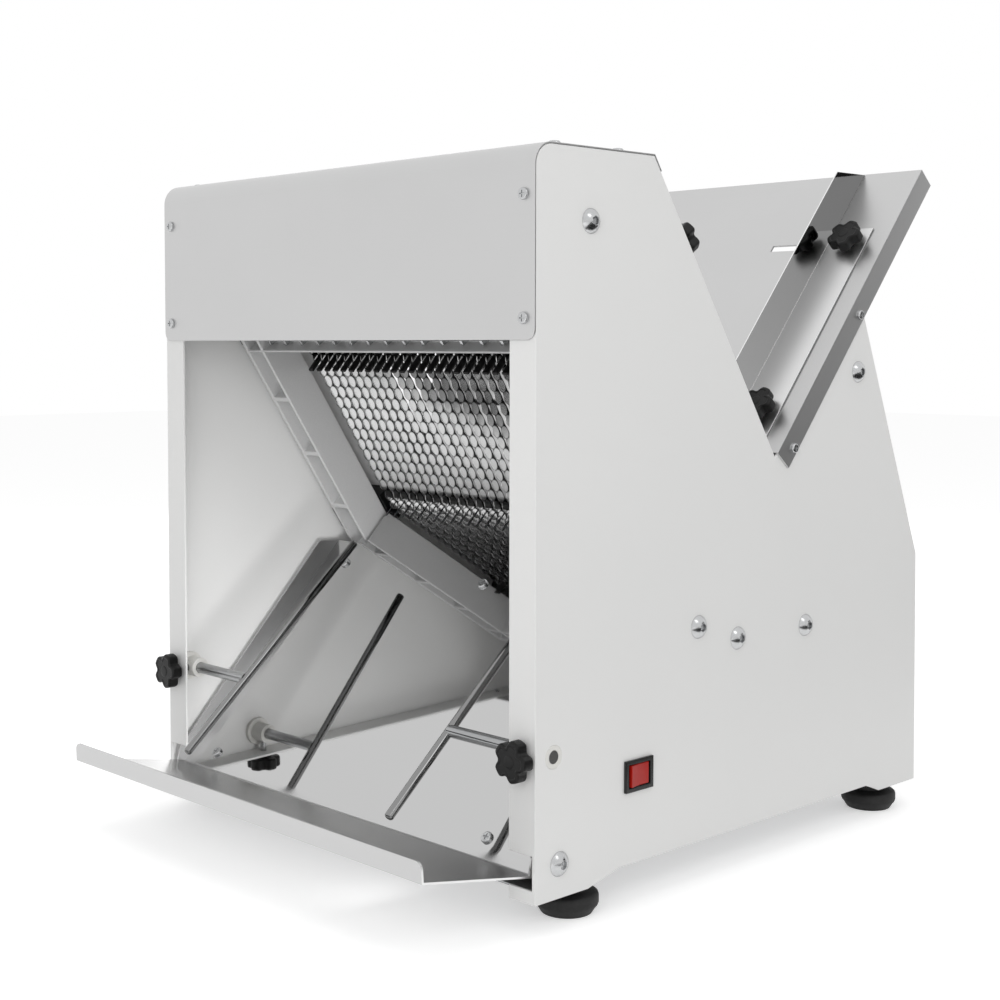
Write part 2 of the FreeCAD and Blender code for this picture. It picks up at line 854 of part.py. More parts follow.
def blade_frame(front):
    back = frame_front_d + frame_depth
    ring = frame_block(front, -rail_out, rail_out, frame_front_d, back, frame_top, frame_bottom)
    window = frame_block(front, -rail_in, rail_in, frame_front_d - 1, back + 1, window_top, window_bottom)
    groove = frame_block(
        front, rail_out - groove_depth, rail_out + 1,
        groove_d, groove_d + groove_width, frame_top - 1, frame_bottom + 1)
    ring = ring.cut(Part.makeCompound([window, groove, mirrored(groove)]))
    ring = ring.cut(Part.makeCompound(rail_pockets(front)))
    return fused([ring] + drive_lug(front)).cut(hooks(front))


def wrist_pin(front):
    sign = -1 if front else 1
    pin = on_blade(middle_d, pin_s)
    half = rod_thick / 2 + 0.5 + cheek + 1.5
    return x_rod(pin, wrist_pin_radius, sign * rod_x - half, sign * rod_x + half)


def hook(front, x, top):
    """Sheet hook that reaches through a cross bar and holds one blade end."""
    edge = window_top if top else window_bottom
    inward = 1 if top else -1
    tip = frame_front_d + hook_reach
    back = frame_front_d + frame_depth
    far = middle_d + blade_width / 2
    low = edge + inward * blade_end
    rise = edge - inward * hook_rise
    under = rise + inward * hook_bar
    corners = [
        (tip, rise), (back + hook_sheet, rise), (back + hook_sheet, edge), (far, edge),
        (far, low), (back, low), (back, under), (tip, under),
    ]
    outline = [on_blade(facing(d, front), s) for d, s in corners]
    return side_prism(outline, x - hook_thick / 2, x + hook_thick / 2)


def frame_blades(front):
    return [blade_x(number) for number in range(0 if front else 1, blade_count, 2)]


def hooks(front):
    pieces = [hook(front, x, top) for x in frame_blades(front) for top in (True, False)]
    return Part.makeCompound(pieces)


def blade_outline(front):
    """Lobed cutting edge to the front and a gently waved back."""
    middle = middle_d - blade_stagger if front else middle_d + blade_stagger
    edge = middle - blade_width / 2
    back = middle + blade_width / 2
    top = window_top + blade_end
    bottom = window_bottom - blade_end
    count = int((bottom - top) / lobe_pitch)
    start = (top + bottom - count * lobe_pitch) / 2
    front_side = [(edge, top)]
    rear_side = [(back, top)]
    for number in range(count):
        for share in lobe_steps:
            s = start + (number + share) * lobe_pitch
            drop = 4 * (share - 0.5) ** 2
            front_side.append((edge + lobe_depth * drop, s))
            rear_side.append((back - back_wave * drop, s))
    front_side.append((edge, bottom))
    rear_side.append((back, bottom))
    return [on_blade(d, s) for d, s in front_side + rear_side[::-1]]


def blades(front):
    outline = blade_outline(front)
    half = blade_thick / 2
    return Part.makeCompound([side_prism(outline, x - half, x + half) for x in frame_blades(front)])


def frame_guides():
    """Nylon blocks between the wall and the rails, upper and lower."""
    guides = []
    outer = half_width - wall
    back = frame_front_d + frame_depth
    low = frame_front_d + block_margin
    for s0, s1 in block_places:
        body = blade_block(rail_out + slide_gap, outer, low, facing(low, False), s0, s1)
        near = back + slide_gap
        web = blade_block(rail_in - block_overlap, rail_out + 1, near, facing(near, False), s0, s1)
        tip = rail_out - groove_depth + slide_gap
        d0 = groove_d + slide_gap
        d1 = groove_d + groove_width - slide_gap
        tongues = [frame_block(front, tip, rail_out + 1, d0, d1, s0, s1) for front in (True, False)]
        guides.append(fused([body, web] + tongues))
    return Part.makeCompound(guides)


# Crank drive
def crank_centre():
    return on_blade(middle_d, crank_s)


def crank_pin_place(front):
    return on_blade(middle_d + (crank_radius if front else -crank_radius), crank_s)


def link_outline(p, q, half):
    length = math.hypot(q[0] - p[0], q[1] - p[1])
    side = ((q[1] - p[1]) / length * half, -(q[0] - p[0]) / length * half)
    start = [(p[0] + side[0], p[1] + side[1]), (q[0] + side[0], q[1] + side[1])]
    end = [(q[0] - side[0], q[1] - side[1]), (p[0] - side[0], p[1] - side[1])]
    return start + end


def con_rod(front):
    sign = -1 if front else 1
    low = on_blade(middle_d, pin_s)
    high = crank_pin_place(front)
    x0 = sign * rod_x - rod_thick / 2
    x1 = sign * rod_x + rod_thick / 2
    shank = side_prism(link_outline(low, high, rod_half), x0, x1)
    small = x_rod(low, rod_small, x0, x1)
    big = x_rod(high, rod_big, x0, x1)
    body = fused([shank, small, big])
    body = body.cut(x_rod(low, wrist_pin_radius + run_fit, x0 - 1, x1 + 1))
    near = sign * (disc_out + slide_gap)
    far = sign * (rod_x + rod_thick / 2 + 2)
    pin = x_rod(high, crank_pin_radius, min(near, far), max(near, far))
    return body.fuse(pin).removeSplitter()


def crankshaft():
    centre = crank_centre()
    pieces = [x_rod(centre, shaft_radius, -disc_out, disc_out)]
    for sign in (-1, 1):
        x0 = min(sign * disc_in, sign * disc_out)
        pieces.append(x_rod(centre, disc_radius, x0, x0 + disc_out - disc_in))
    return fused(pieces)


def ring_x(place, outer, inner, x0, x1):
    return x_rod(place, outer, x0, x1).cut(x_rod(place, inner, x0 - 1, x1 + 1))


def grooved_pulley(place, radius, bore):
    pulley = ring_x(place, radius, bore, -pulley_half, pulley_half)
    half = belt_half + slide_gap
    groove = ring_x(place, radius + 1, radius - groove_drop, -half, half)
    return pulley.cut(groove)


def crank_pulley():
    centre = crank_centre()
    pulley = grooved_pulley(centre, pulley_radius, shaft_radius)
    hub = ring_x(centre, pulley_hub, shaft_radius, -pulley_hub_half, pulley_hub_half)
    pulley = pulley.fuse(hub).removeSplitter()
    holes = []
    for number in range(5):
        angle = math.radians(72 * number)
        place = moved(centre, (math.cos(angle), math.sin(angle)), pulley_hole_place)
        holes.append(x_rod(place, pulley_hole, -pulley_hub_half, pulley_hub_half))
    return pulley.cut(Part.makeCompound(holes))


def bearing_plate():
    """Plate on both drive bars that carries one shaft bearing, kept below the front frame's stroke."""
    front = bar_places["drive_front"]
    rear = bar_places["drive_rear"]
    centre = crank_centre()
    boss = bar_radius + plate_rim
    pieces = [x_rod(place, boss, plate_in, plate_out) for place in (front, rear)]
    pieces.append(x_rod(centre, bearing_radius + plate_rim, plate_in, plate_out))
    for start, end in ((front, rear), (front, centre), (rear, centre)):
        pieces.append(side_prism(link_outline(start, end, boss - 0.1), plate_in, plate_out))
    pieces.append(side_prism([front, rear, centre], plate_in, plate_out))
    plate = fused(pieces)
    for place in (front, rear):
        plate = plate.cut(x_rod(place, bar_radius, plate_in - 1, plate_out + 1))
    plate = plate.cut(x_rod(centre, bearing_radius, plate_in - 1, plate_out + 1))
    stroke = frame_bottom + crank_radius + plate_clear
    frame_back = frame_front_d + frame_depth + plate_clear
    return plate.cut(blade_block(plate_in - 1, plate_out + 1, 0, frame_back, frame_top, stroke))


def crank_bearings():
    centre = crank_centre()
    ring = x_rod(centre, bearing_radius, plate_in, plate_out)
    end = plate_out + bearing_rim
    rim = x_rod(centre, bearing_radius + bearing_rim, plate_out, end)
    bearing = ring.fuse(rim).cut(x_rod(centre, shaft_radius + run_fit, plate_in - 1, end + 1))
    return Part.makeCompound([bearing, mirrored(bearing)])


def loop_body(c1, r1, c2, r2, half):
    """Outline of a band round two circles, as a solid."""
    span = math.hypot(c2[0] - c1[0], c2[1] - c1[1])
    heading = math.atan2(c2[1] - c1[1], c2[0] - c1[0])
    open_angle = math.acos((r1 - r2) / span)
    corners = []
    for centre, radius, turn in ((c1, r1, 1), (c2, r2, 1), (c2, r2, -1), (c1, r1, -1)):
        angle = heading + turn * open_angle
        corners.append((centre[0] + radius * math.cos(angle), centre[1] + radius * math.sin(angle)))
    body = side_prism(corners, -half, half)
    return body.fuse([x_rod(c1, r1, -half, half), x_rod(c2, r2, -half, half)]).removeSplitter()


def drive_belt():
    inner_crank = pulley_radius - groove_drop + slide_gap
    inner_motor = motor_pulley_radius - groove_drop + slide_gap
    centre = crank_centre()
    outer = loop_body(centre, inner_crank + belt_depth, motor_yz, inner_motor + belt_depth, belt_half)
    inner = loop_body(centre, inner_crank, motor_yz, inner_motor, belt_half + 1)
    return outer.cut(inner)


def motor():
    x0, x1 = motor_x
    y, z = motor_yz
    body = x_rod(motor_yz, motor_radius, x0 + motor_bell, x1 - motor_bell)
    pieces = [body]
    for start, end in ((x0, x0 + motor_bell), (x1 - motor_bell, x1)):
        pieces.append(x_rod(motor_yz, motor_radius - 4, start, end))
    foot_half, foot_in = motor_foot
    foot = block(x0 + foot_in, x1 - foot_in, y - foot_half, y + foot_half, bridge_top, z - motor_radius + 12)
    box_half, box_in, box_high = motor_box
    top = z + motor_radius
    box = block(x0 + box_in, x1 - box_in, y - box_half, y + box_half, top - 8, top + box_high)
    whole = fused(pieces + [foot, box])
    fins = []
    for number in range(int((x1 - x0 - 2 * motor_bell - fin_gap) / fin_pitch)):
        x = x0 + motor_bell + fin_pitch / 2 + number * fin_pitch
        fins.append(ring_x(motor_yz, motor_radius + 1, motor_radius - fin_depth, x, x + fin_gap))
    whole = whole.cut(Part.makeCompound(fins).cut(fused([foot, box])))
    return whole.cut(x_rod(motor_yz, motor_shaft_radius + run_fit, x0 - 1, x0 + 40))


def motor_shaft():
    return x_rod(motor_yz, motor_shaft_radius, -pulley_half - 2, motor_x[0] + 38)


def motor_pulley():
    return grooved_pulley(motor_yz, motor_pulley_radius, motor_shaft_radius)


def motor_bridge():
    """Bent plate that carries the motor over the crumb drawer."""
    y0 = motor_yz[0] - bridge_half
    y1 = motor_yz[0] + bridge_half
    half = drawer_half + bridge_out
    low = floor_low + wall
    leg_in = half - bridge_sheet
    top = block(-half, half, y0, y1, bridge_top - bridge_sheet, bridge_top)
    leg = block(leg_in, half, y0, y1, low, bridge_top)
    toe = block(leg_in, half + bridge_toe, y0, y1, low, low + bridge_sheet)
    return fused([top, leg, mirrored(leg), toe, mirrored(toe)])


# Rear panel, base plate and crumb drawer
def rear_panel():
    inside = rear_bottom_y - wall
    shoulder = moved(rear_shoulder, rear_out, -wall)
    low = (inside, floor_low + wall)
    bend_out = meet(shoulder, rear_way, (inside, 0), (0, 1))
    top = moved(moved(rear_corner, rear_out, -wall), rear_way, rear_lap)
    top_in = moved(top, rear_out, -rear_sheet)
    shoulder_in = moved(shoulder, rear_out, -rear_sheet)
    bend_in = meet(shoulder_in, rear_way, (inside - rear_sheet, 0), (0, 1))
    low_in = (inside - rear_sheet, floor_low + wall)
    half = half_width - wall - rear_tuck
    panel = side_prism([low, bend_out, top, top_in, bend_in, low_in], -half, half)
    y0 = inside - 2 * rear_sheet
    y1 = inside + rear_sheet
    mouth = drawer_half + mouth_gap
    cuts = [block(-mouth, mouth, y0, y1, 0, drawer_high + mouth_gap)]
    for x in (-vent_x, vent_x):
        for row in range(vent_rows):
            z = vent_low + row * vent_pitch
            cuts.append(block(x - vent_half, x + vent_half, y0, y1, z, z + vent_high))
    x, z = inlet_xz
    half_x, half_z, deep = inlet_body
    cuts.append(block(x - half_x, x + half_x, y0, y1, z - half_z, z + half_z))
    return panel.cut(Part.makeCompound(cuts))


def rear_screw_spots():
    spots = []
    middle = moved(rear_shoulder, rear_way, -rear_drop_length * 0.6)
    for x in (-rear_screw_x, rear_screw_x):
        for z in rear_screw_heights:
            spots.append(((x, rear_bottom_y, z), (0, 1, 0)))
        spots.append(((x,) + middle, (0,) + rear_out))
    return spots


def rear_screws():
    return Part.makeCompound([screw(place, way, rear_screw) for place, way in rear_screw_spots()])


def rear_holes():
    spots = rear_screw_spots()
    return Part.makeCompound([bore(place, way, rear_screw, bore_depth) for place, way in spots])


def base_plate():
    half = half_width - wall
    top = floor_low + wall
    front = wall + base_front
    back = rear_bottom_y - wall - base_back
    start, end, high = base_rim
    plate = block(-half, half, front, back, floor_low, top)
    rim = block(half - wall, half, front + start, back - end, floor_low, floor_low + high)
    runner_x = drawer_half + runner_gap
    runner = block(runner_x, runner_x + runner_sheet, drawer_front, back - 6, top, top + runner_high)
    return fused([plate, rim, mirrored(rim), runner, mirrored(runner)])


def crumb_drawer():
    half = drawer_half
    outer = block(-half, half, drawer_front, drawer_back, drawer_low, drawer_high)
    t = drawer_sheet
    inner = block(-half + t, half - t, drawer_front + t, drawer_back - t, drawer_low + t, drawer_high + 1)
    tray = outer.cut(inner)
    face_in = rear_bottom_y - wall + slide_gap
    face_out = face_in + drawer_face
    wide = half + drawer_lip
    face = block(-wide, wide, face_in, face_out, drawer_low + slide_gap, drawer_high + drawer_lip + 1)
    inset = half - drawer_joint
    joiner = block(-inset, inset, drawer_back - t, face_in, drawer_low, drawer_high)
    low, high = pull_heights
    end = face_in + pull_reach
    pull = block(-pull_half, pull_half, face_in, end, high - pull_sheet, high)
    pull_lip = block(-pull_half, pull_half, end - pull_sheet, end, low, high)
    return fused([tray, joiner, face, pull, pull_lip])


# Switch, mains inlet and feet
def around_switch(x0, x1, size, inset):
    """Box about the switch's middle, in from a width and a height."""
    y, z = switch_yz
    half_y = size[0] / 2 - inset
    half_z = size[1] / 2 - inset
    return block(x0, x1, y - half_y, y + half_y, z - half_z, z + half_z)


def switch_bezel():
    rim = around_switch(half_width, half_width + switch_rim, switch_bezel_size, 0)
    body = around_switch(half_width - switch_deep, half_width, switch_body_size, 0)
    well_low = half_width - switch_deep * 2 / 3
    well = around_switch(well_low, half_width + 2 * switch_rim, switch_body_size, switch_wall)
    return rim.fuse(body).removeSplitter().cut(well)


def switch_rocker():
    """Rocker with a round pivot, its rear half standing out."""
    y, z = switch_yz
    half_y = switch_body_size[0] / 2 - switch_wall - rocker_gap[0]
    half_z = switch_body_size[1] / 2 - switch_wall - rocker_gap[1]
    root = half_width - rocker_depth
    lift = half_width + rocker_face
    rise = lift + half_y * math.tan(math.radians(rocker_tilt))
    profile = [
        (root, y - half_y / 2), (root, y + half_y / 2), (half_width - 1, y + half_y), (lift, y + half_y),
        (lift, y), (rise, y - half_y), (half_width - 1, y - half_y),
    ]
    corners = [FreeCAD.Vector(px, py, z - half_z) for px, py in profile]
    corners.append(corners[0])
    body = Part.Face(Part.makePolygon(corners)).extrude(FreeCAD.Vector(0, 0, 2 * half_z))
    reach = half_z + rocker_gap[1] - slide_gap / 2
    start = (half_width - rocker_pivot, y, z - reach)
    return body.fuse(rod_between(start, (half_width - rocker_pivot, y, z + reach), rocker_pivot_radius))


def power_inlet():
    x, z = inlet_xz
    y = rear_bottom_y - wall
    rim_x, rim_z, rim_out = inlet_rim
    half_x, half_z, deep = inlet_body
    half_x -= slide_gap / 2
    half_z -= slide_gap / 2
    rim = block(x - rim_x, x + rim_x, y, y + rim_out, z - rim_z, z + rim_z)
    body = block(x - half_x, x + half_x, y - deep, y, z - half_z, z + half_z)
    inner_x = half_x - inlet_wall
    inner_z = half_z - inlet_wall
    bottom = y - deep + 2 * inlet_wall
    well = block(x - inner_x, x + inner_x, bottom, y + 2 * rim_out, z - inner_z, z + inner_z)
    inlet = rim.fuse(body).removeSplitter().cut(well)
    apart, half_pin, high_pin = inlet_pin
    pins = []
    for place in (x - apart, x, x + apart):
        start = y - deep + inlet_wall
        pins.append(block(place - half_pin, place + half_pin, start, y - 2, z - high_pin, z + high_pin))
    return inlet.fuse(pins).removeSplitter()


def feet():
    neck_low, cone, brim, wide, sole = foot_steps
    profile = [
        (0, floor_low), (foot_neck, floor_low), (foot_neck, neck_low), (foot_neck + 2, cone),
        (foot_radius - 1, brim), (foot_radius, wide), (foot_radius - 1, sole),
        (foot_sole, -foot_height), (0, -foot_height),
    ]
    corners = [FreeCAD.Vector(r, 0, z) for r, z in profile]
    corners.append(corners[0])
    face = Part.Face(Part.makePolygon(corners))
    foot = face.revolve(FreeCAD.Vector(0, 0, 0), FreeCAD.Vector(0, 0, 1), 360)
    done = []
    for x in (-foot_x, foot_x):
        for y in foot_places:
            one = foot.copy()
            one.translate(FreeCAD.Vector(x, y, 0))
            done.append(one)
    return Part.makeCompound(done)


def write_casing():
    holes = Part.makeCompound([cover_holes(), rear_holes(), tray_holes()])
    right = side_wall().cut(holes)
    export("side_panel_right", right.cut(switch_opening()))
    export("side_panel_left", mirrored(right))
    export("front_cover", front_cover().cut(cover_holes()))
    export("casing_screws", Part.makeCompound([cover_screws(), rear_screws()]))
    export("slope_guard", slope_guard())
    export("upper_comb", upper_comb())
    export("rear_panel", rear_panel().cut(rear_holes()))
    export("base_plate", base_plate())
    export("feet", feet())
    export("upper_bars", Part.makeCompound([tie_bar("top"), tie_bar("rear")]))
    tray_bars = Part.makeCompound([tie_bar("chute"), tie_bar("tray")])
    export("tray_bars", tray_bars.cut(chute_holes()))
    export("drive_bars", Part.makeCompound([tie_bar("drive_front"), tie_bar("drive_rear")]))
    bolts = panel_bolts()
    export("panel_bolts_right", bolts)
    export("panel_bolts_left", mirrored(bolts))


def write_trays():
    export("infeed_tray", infeed_tray().cut(tray_holes()))
    export("tray_screws", tray_screws())
    guide = infeed_guide()
    export("infeed_guide_right", guide)
    export("infeed_guide_left", mirrored(guide))
    for name, along in zip(("lower", "upper"), guide_knob_places):
        knob = guide_knob(along)
        export("guide_knob_right_" + name, knob)
        export("guide_knob_left_" + name, mirrored(knob))
    export("slope_knob_right", slope_knob())
    export("slope_knob_left", mirrored(slope_knob()))
    export("delivery_plate", delivery_plate().cut(chute_holes()))
    export("chute_screws", chute_screws())
    export("crumb_drawer", crumb_drawer())
    for side in ("left", "right"):
        export("side_shaft_" + side, side_shaft(side))
        export("guide_rod_" + side, guide_rod(side))
    export("shaft_bushings", bushings())
    export("rod_knob_right", rod_knob())
    export("rod_knob_left", mirrored(rod_knob()))


def write_cutting():
    for name, front in (("front", True), ("rear", False)):
        export("blade_frame_" + name, blade_frame(front))
        export("blades_" + name, blades(front))
        export("blade_hooks_" + name, hooks(front))
        export("con_rod_" + name, con_rod(front))
        export("wrist_pin_" + name, wrist_pin(front))
    guides = frame_guides()
    export("frame_guides_right", guides)
    export("frame_guides_left", mirrored(guides))


def write_drive():
    export("crankshaft", crankshaft())
    export("crank_pulley", crank_pulley())
    plate = bearing_plate()
    export("bearing_plates", Part.makeCompound([plate, mirrored(plate)]))
    export("crank_bearings", crank_bearings())
    export("drive_belt", drive_belt())
    export("motor", motor())
    export("motor_shaft", motor_shaft())
    export("motor_pulley", motor_pulley())
    export("motor_bridge", motor_bridge())
    export("switch_bezel", switch_bezel())
    export("switch_rocker", switch_rocker())
    export("power_inlet", power_inlet())


os.makedirs("parts", exist_ok=True)
write_casing()
write_trays()
write_cutting()
write_drive()
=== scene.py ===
import json
import math

import bmesh
import bpy
from bpy.props import FloatProperty, FloatVectorProperty, IntProperty, PointerProperty
from mathutils import Matrix, Vector

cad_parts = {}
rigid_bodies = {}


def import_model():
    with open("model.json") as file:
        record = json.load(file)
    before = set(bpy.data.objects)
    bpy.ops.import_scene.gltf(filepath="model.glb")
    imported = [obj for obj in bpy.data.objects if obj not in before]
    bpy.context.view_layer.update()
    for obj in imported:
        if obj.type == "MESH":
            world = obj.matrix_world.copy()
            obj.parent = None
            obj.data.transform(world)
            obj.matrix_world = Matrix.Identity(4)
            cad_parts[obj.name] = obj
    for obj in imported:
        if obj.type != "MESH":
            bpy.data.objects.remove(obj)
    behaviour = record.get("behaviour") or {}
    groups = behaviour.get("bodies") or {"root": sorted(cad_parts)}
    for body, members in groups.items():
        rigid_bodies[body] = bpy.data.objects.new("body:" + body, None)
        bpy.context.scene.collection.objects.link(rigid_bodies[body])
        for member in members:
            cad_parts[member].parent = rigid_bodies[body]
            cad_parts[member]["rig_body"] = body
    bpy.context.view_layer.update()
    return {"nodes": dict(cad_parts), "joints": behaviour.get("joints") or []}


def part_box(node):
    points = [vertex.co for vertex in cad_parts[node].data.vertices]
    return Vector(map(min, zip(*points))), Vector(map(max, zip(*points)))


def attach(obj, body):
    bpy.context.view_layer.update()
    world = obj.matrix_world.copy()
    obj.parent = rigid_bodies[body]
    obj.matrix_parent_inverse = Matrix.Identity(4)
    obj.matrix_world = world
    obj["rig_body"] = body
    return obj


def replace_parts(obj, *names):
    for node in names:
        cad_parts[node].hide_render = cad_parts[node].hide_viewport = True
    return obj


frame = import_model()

bl_info = {
    "name": "Bench bread slicer",
    "version": (1, 0, 0),
    "blender": (4, 5, 0),
    "location": "View3D > Sidebar > Slicer",
    "description": "Dresses a bench bread slicer and sets up its studio",
    "category": "Object",
}

MM = 0.001
SHARP_ANGLE = math.radians(32.0)    # edges sharper than this are rounded
FLAT_ANGLE = math.radians(0.5)      # triangles closer than this make one flat face
BLADE_SLOPE = math.radians(33.6)    # lean of the blades from upright
SCALLOP_PITCH = 12.7                # mm from one scallop of a blade to the next


def linear(code):
    """Linear colour of an sRGB hex value."""
    parts = [int(code[i:i + 2], 16) / 255 for i in (1, 3, 5)]
    return tuple(p / 12.92 if p <= 0.04045 else ((p + 0.055) / 1.055) ** 2.4 for p in parts) + (1.0,)


def colour_property(name, code, description):
    return FloatVectorProperty(
        name=name, description=description, subtype="COLOR", size=4, min=0.0, max=1.0, default=linear(code))


def length_property(name, millimetres, description):
    return FloatProperty(name=name, description=description, default=millimetres * MM, min=0.0, unit="LENGTH")


class SlicerColours(bpy.types.PropertyGroup):
    paint: colour_property("Paint", "#E9E9E8", "Powder coat of the casing")
    stainless: colour_property("Stainless", "#CECECE", "Satin sheet of cover and infeed tray")
    polished: colour_property("Polished stainless", "#C4C4C4", "Mirror-finished delivery plate")
    bright: colour_property("Bright stainless", "#EEEEEE", "Flanges of infeed guides and delivery plate")
    # bright is painted light: a lit copy of the satin stainless for the guide flanges and the delivery plate's side
    # faces
    deep: colour_property("Buffed stainless", "#8E8E8E", "Walls of the infeed guides, and guide rods")
    # deep is painted shade: a darkened copy of the mirror stainless for the guide walls and the guide rods
    casting: colour_property("Casting", "#DADADA", "Blade frames")
    # Blade facets and Blade back are painted light: a painted glint on each scallop's facet and painted shade on the
    # polished back
    blade: colour_property("Blade facets", "#DCDCDC", "Ground facets on the blades' scallops")
    blade_painted_shade: colour_property("Blade back", "#303030", "Blades between their ground facets")
    steel: colour_property("Turned steel", "#A9AAAB", "Bars, shafts and pins")
    zinc: colour_property("Bright zinc", "#C6C7C8", "Bolts and screws")
    black: colour_property("Black plastic", "#0C0C0C", "Knobs, comb and guide blocks")
    rubber: colour_property("Rubber", "#0E0E0E", "Feet and belt")
    nylon: colour_property("White nylon", "#E4E3DF", "Shaft bushings")
    red: colour_property("Red rocker", "#B01A10", "Rocker of the switch")
    enamel: colour_property("Motor enamel", "#4A4E52", "Motor body")
    iron: colour_property("Cast iron", "#6A6A69", "Pulleys and connecting rods")


class SlicerSizes(bpy.types.PropertyGroup):
    sheet_edge: length_property("Sheet edge", 0.4, "Rounding of sheet metal edges")
    casting_edge: length_property("Casting edge", 1.2, "Rounding of cast edges")
    turned_edge: length_property("Turned edge", 0.5, "Rounding of turned and moulded edges")
    knob_radius: length_property("Knob radius", 16.0, "Tip radius of a star knob")
    knob_thick: length_property("Knob thickness", 11.0, "Thickness of a star knob's grip")
    knob_roll: length_property("Knob roll", 2.2, "Rounding of a star knob's edges")
    knob_dent: length_property("Knob dent", 4.6, "Radius of the dents between a knob's lobes")
    knob_dent_place: length_property("Knob dent place", 16.6, "Radius on which a knob's dents lie")
    knob_neck: length_property("Knob neck", 4.0, "Height of a star knob's neck")
    knob_neck_radius: length_property("Knob neck radius", 6.5, "Radius of a star knob's neck")
    knob_lobes: IntProperty(name="Knob lobes", description="Lobes of a star knob", default=5, min=3)
    stud_radius: length_property("Stud radius", 3.0, "Radius of a knob's threaded stud")
    foot_radius: length_property("Foot radius", 25.0, "Radius of a foot's brim")
    foot_neck: length_property("Foot neck", 17.0, "Radius of a foot's waist")
    foot_sole: length_property("Foot sole", 20.5, "Radius of a foot's sole")
    knob_hub_edge: length_property("Knob hub edge", 0.5, "Rounding of a star knob's neck and cap")
    knob_cap: length_property("Knob cap", 5.2, "Radius of the cap in a star knob's face")
    thread_pitch: length_property("Thread pitch", 1.0, "Pitch of a knob's threaded stud")
    fine_edge: length_property("Fine edge", 0.3, "Rounding of hooks and small screws")
    switch_edge: length_property("Switch edge", 0.6, "Rounding of the switch, the inlet and the comb")


def colours():
    return bpy.context.scene.slicer_colours


def sizes():
    return bpy.context.scene.slicer_sizes


# Materials
def connect(tree, node, inputs):
    """Sets or links a node's inputs."""
    for key, value in inputs.items():
        if isinstance(value, bpy.types.NodeSocket):
            tree.links.new(value, node.inputs[key])
        else:
            node.inputs[key].default_value = value


def add_node(tree, kind, inputs=None, **settings):
    """Adds a node with its settings and links, and gives its outputs."""
    made = tree.nodes.new(kind)
    for key, value in settings.items():
        setattr(made, key, value)
    connect(tree, made, inputs or {})
    return made.outputs


def per_mm(size):
    """Texture scale that gives features of this size in millimetres."""
    return 1.0 / size


def darker(colour, share):
    """A colour with only this share of its light."""
    return tuple(channel * share for channel in colour[:3]) + (1.0,)


def mottled(tree, shader, pattern, colour, share, rough, relief=None):
    """Lets one pattern shade a surface: its colour, its roughness and its relief in millimetres."""
    tint = add_node(
        tree, "ShaderNodeMix", {"Factor": pattern, "A": colour, "B": darker(colour, share)}, data_type="RGBA")
    dull = add_node(tree, "ShaderNodeMapRange", {"Value": pattern, "To Min": rough[0], "To Max": rough[1]})
    connect(tree, shader, {"Base Color": tint["Result"], "Roughness": dull["Result"]})
    if relief:
        raised = add_node(tree, "ShaderNodeBump", {"Height": pattern, "Distance": relief * MM})
        connect(tree, shader, {"Normal": raised["Normal"]})


def powder_coat(tree, shader, place):
    """Baked polyester powder: satin, with a fine orange-peel skin that softens highlights."""
    peel = add_node(tree, "ShaderNodeTexNoise", {"Vector": place, "Scale": per_mm(1.6)})["Fac"]
    cloud = add_node(tree, "ShaderNodeTexNoise", {"Vector": place, "Scale": per_mm(140.0)})["Fac"]
    faint = add_node(tree, "ShaderNodeMapRange", {"Value": cloud, "To Max": 0.5})["Result"]
    tint = add_node(
        tree, "ShaderNodeMix", {"Factor": faint, "A": colours().paint, "B": darker(colours().paint, 0.95)},
        data_type="RGBA")
    dull = add_node(tree, "ShaderNodeMapRange", {"Value": peel, "To Min": 0.36, "To Max": 0.46})
    raised = add_node(tree, "ShaderNodeBump", {"Height": peel, "Distance": 0.02 * MM})
    connect(tree, shader, {
        "Base Color": tint["Result"], "Roughness": dull["Result"], "Normal": raised["Normal"], "IOR": 1.5})


def satin_stainless(tree, shader, place, long_axis, colour):
    """Belt-ground stainless sheet: long fine scratches that spread highlights across the grain."""
    # grit lines are about 0.1 mm wide, drawn at 0.5 mm so that they show
    along = [1.0 / 120.0 if axis == long_axis else 1.0 for axis in range(3)]
    drawn = add_node(tree, "ShaderNodeMapping", {"Vector": place, "Scale": along})["Vector"]
    grain = add_node(tree, "ShaderNodeTexNoise", {"Vector": drawn, "Scale": per_mm(0.5), "Detail": 3.0})["Fac"]
    cloud = add_node(tree, "ShaderNodeTexNoise", {"Vector": place, "Scale": per_mm(90.0)})["Fac"]
    faint = add_node(tree, "ShaderNodeMapRange", {"Value": cloud, "To Max": 0.6})["Result"]
    tint = add_node(
        tree, "ShaderNodeMix", {"Factor": faint, "A": colour, "B": darker(colour, 0.93)}, data_type="RGBA")
    dull = add_node(tree, "ShaderNodeMapRange", {"Value": grain, "To Min": 0.30, "To Max": 0.42})
    raised = add_node(tree, "ShaderNodeBump", {"Height": grain, "Distance": 0.006 * MM})
    connect(tree, shader, {
        "Base Color": tint["Result"], "Metallic": 1.0, "Roughness": dull["Result"], "Normal": raised["Normal"]})


def ground_across(tree, shader, place):
    """Satin stainless sheet ground from side to side."""
    satin_stainless(tree, shader, place, 0, colours().stainless)


def ground_painted_light(tree, shader, place):
    """Satin stainless sheet ground from front to back, in a bright tone that is painted light."""
    satin_stainless(tree, shader, place, 1, colours().bright)


def mirror_stainless(tree, shader, place):
    """Buffed stainless: a clear mirror with faint wiping marks, in a dark tone that is painted shade."""
    swept = add_node(tree, "ShaderNodeMapping", {"Vector": place, "Scale": (1.0 / 14.0, 1.0, 1.0)})["Vector"]
    wipe = add_node(tree, "ShaderNodeTexNoise", {"Vector": swept, "Scale": per_mm(5.0), "Detail": 3.0})["Fac"]
    dull = add_node(tree, "ShaderNodeMapRange", {"Value": wipe, "To Min": 0.03, "To Max": 0.07})
    connect(tree, shader, {"Base Color": colours().deep, "Metallic": 1.0, "Roughness": dull["Result"]})


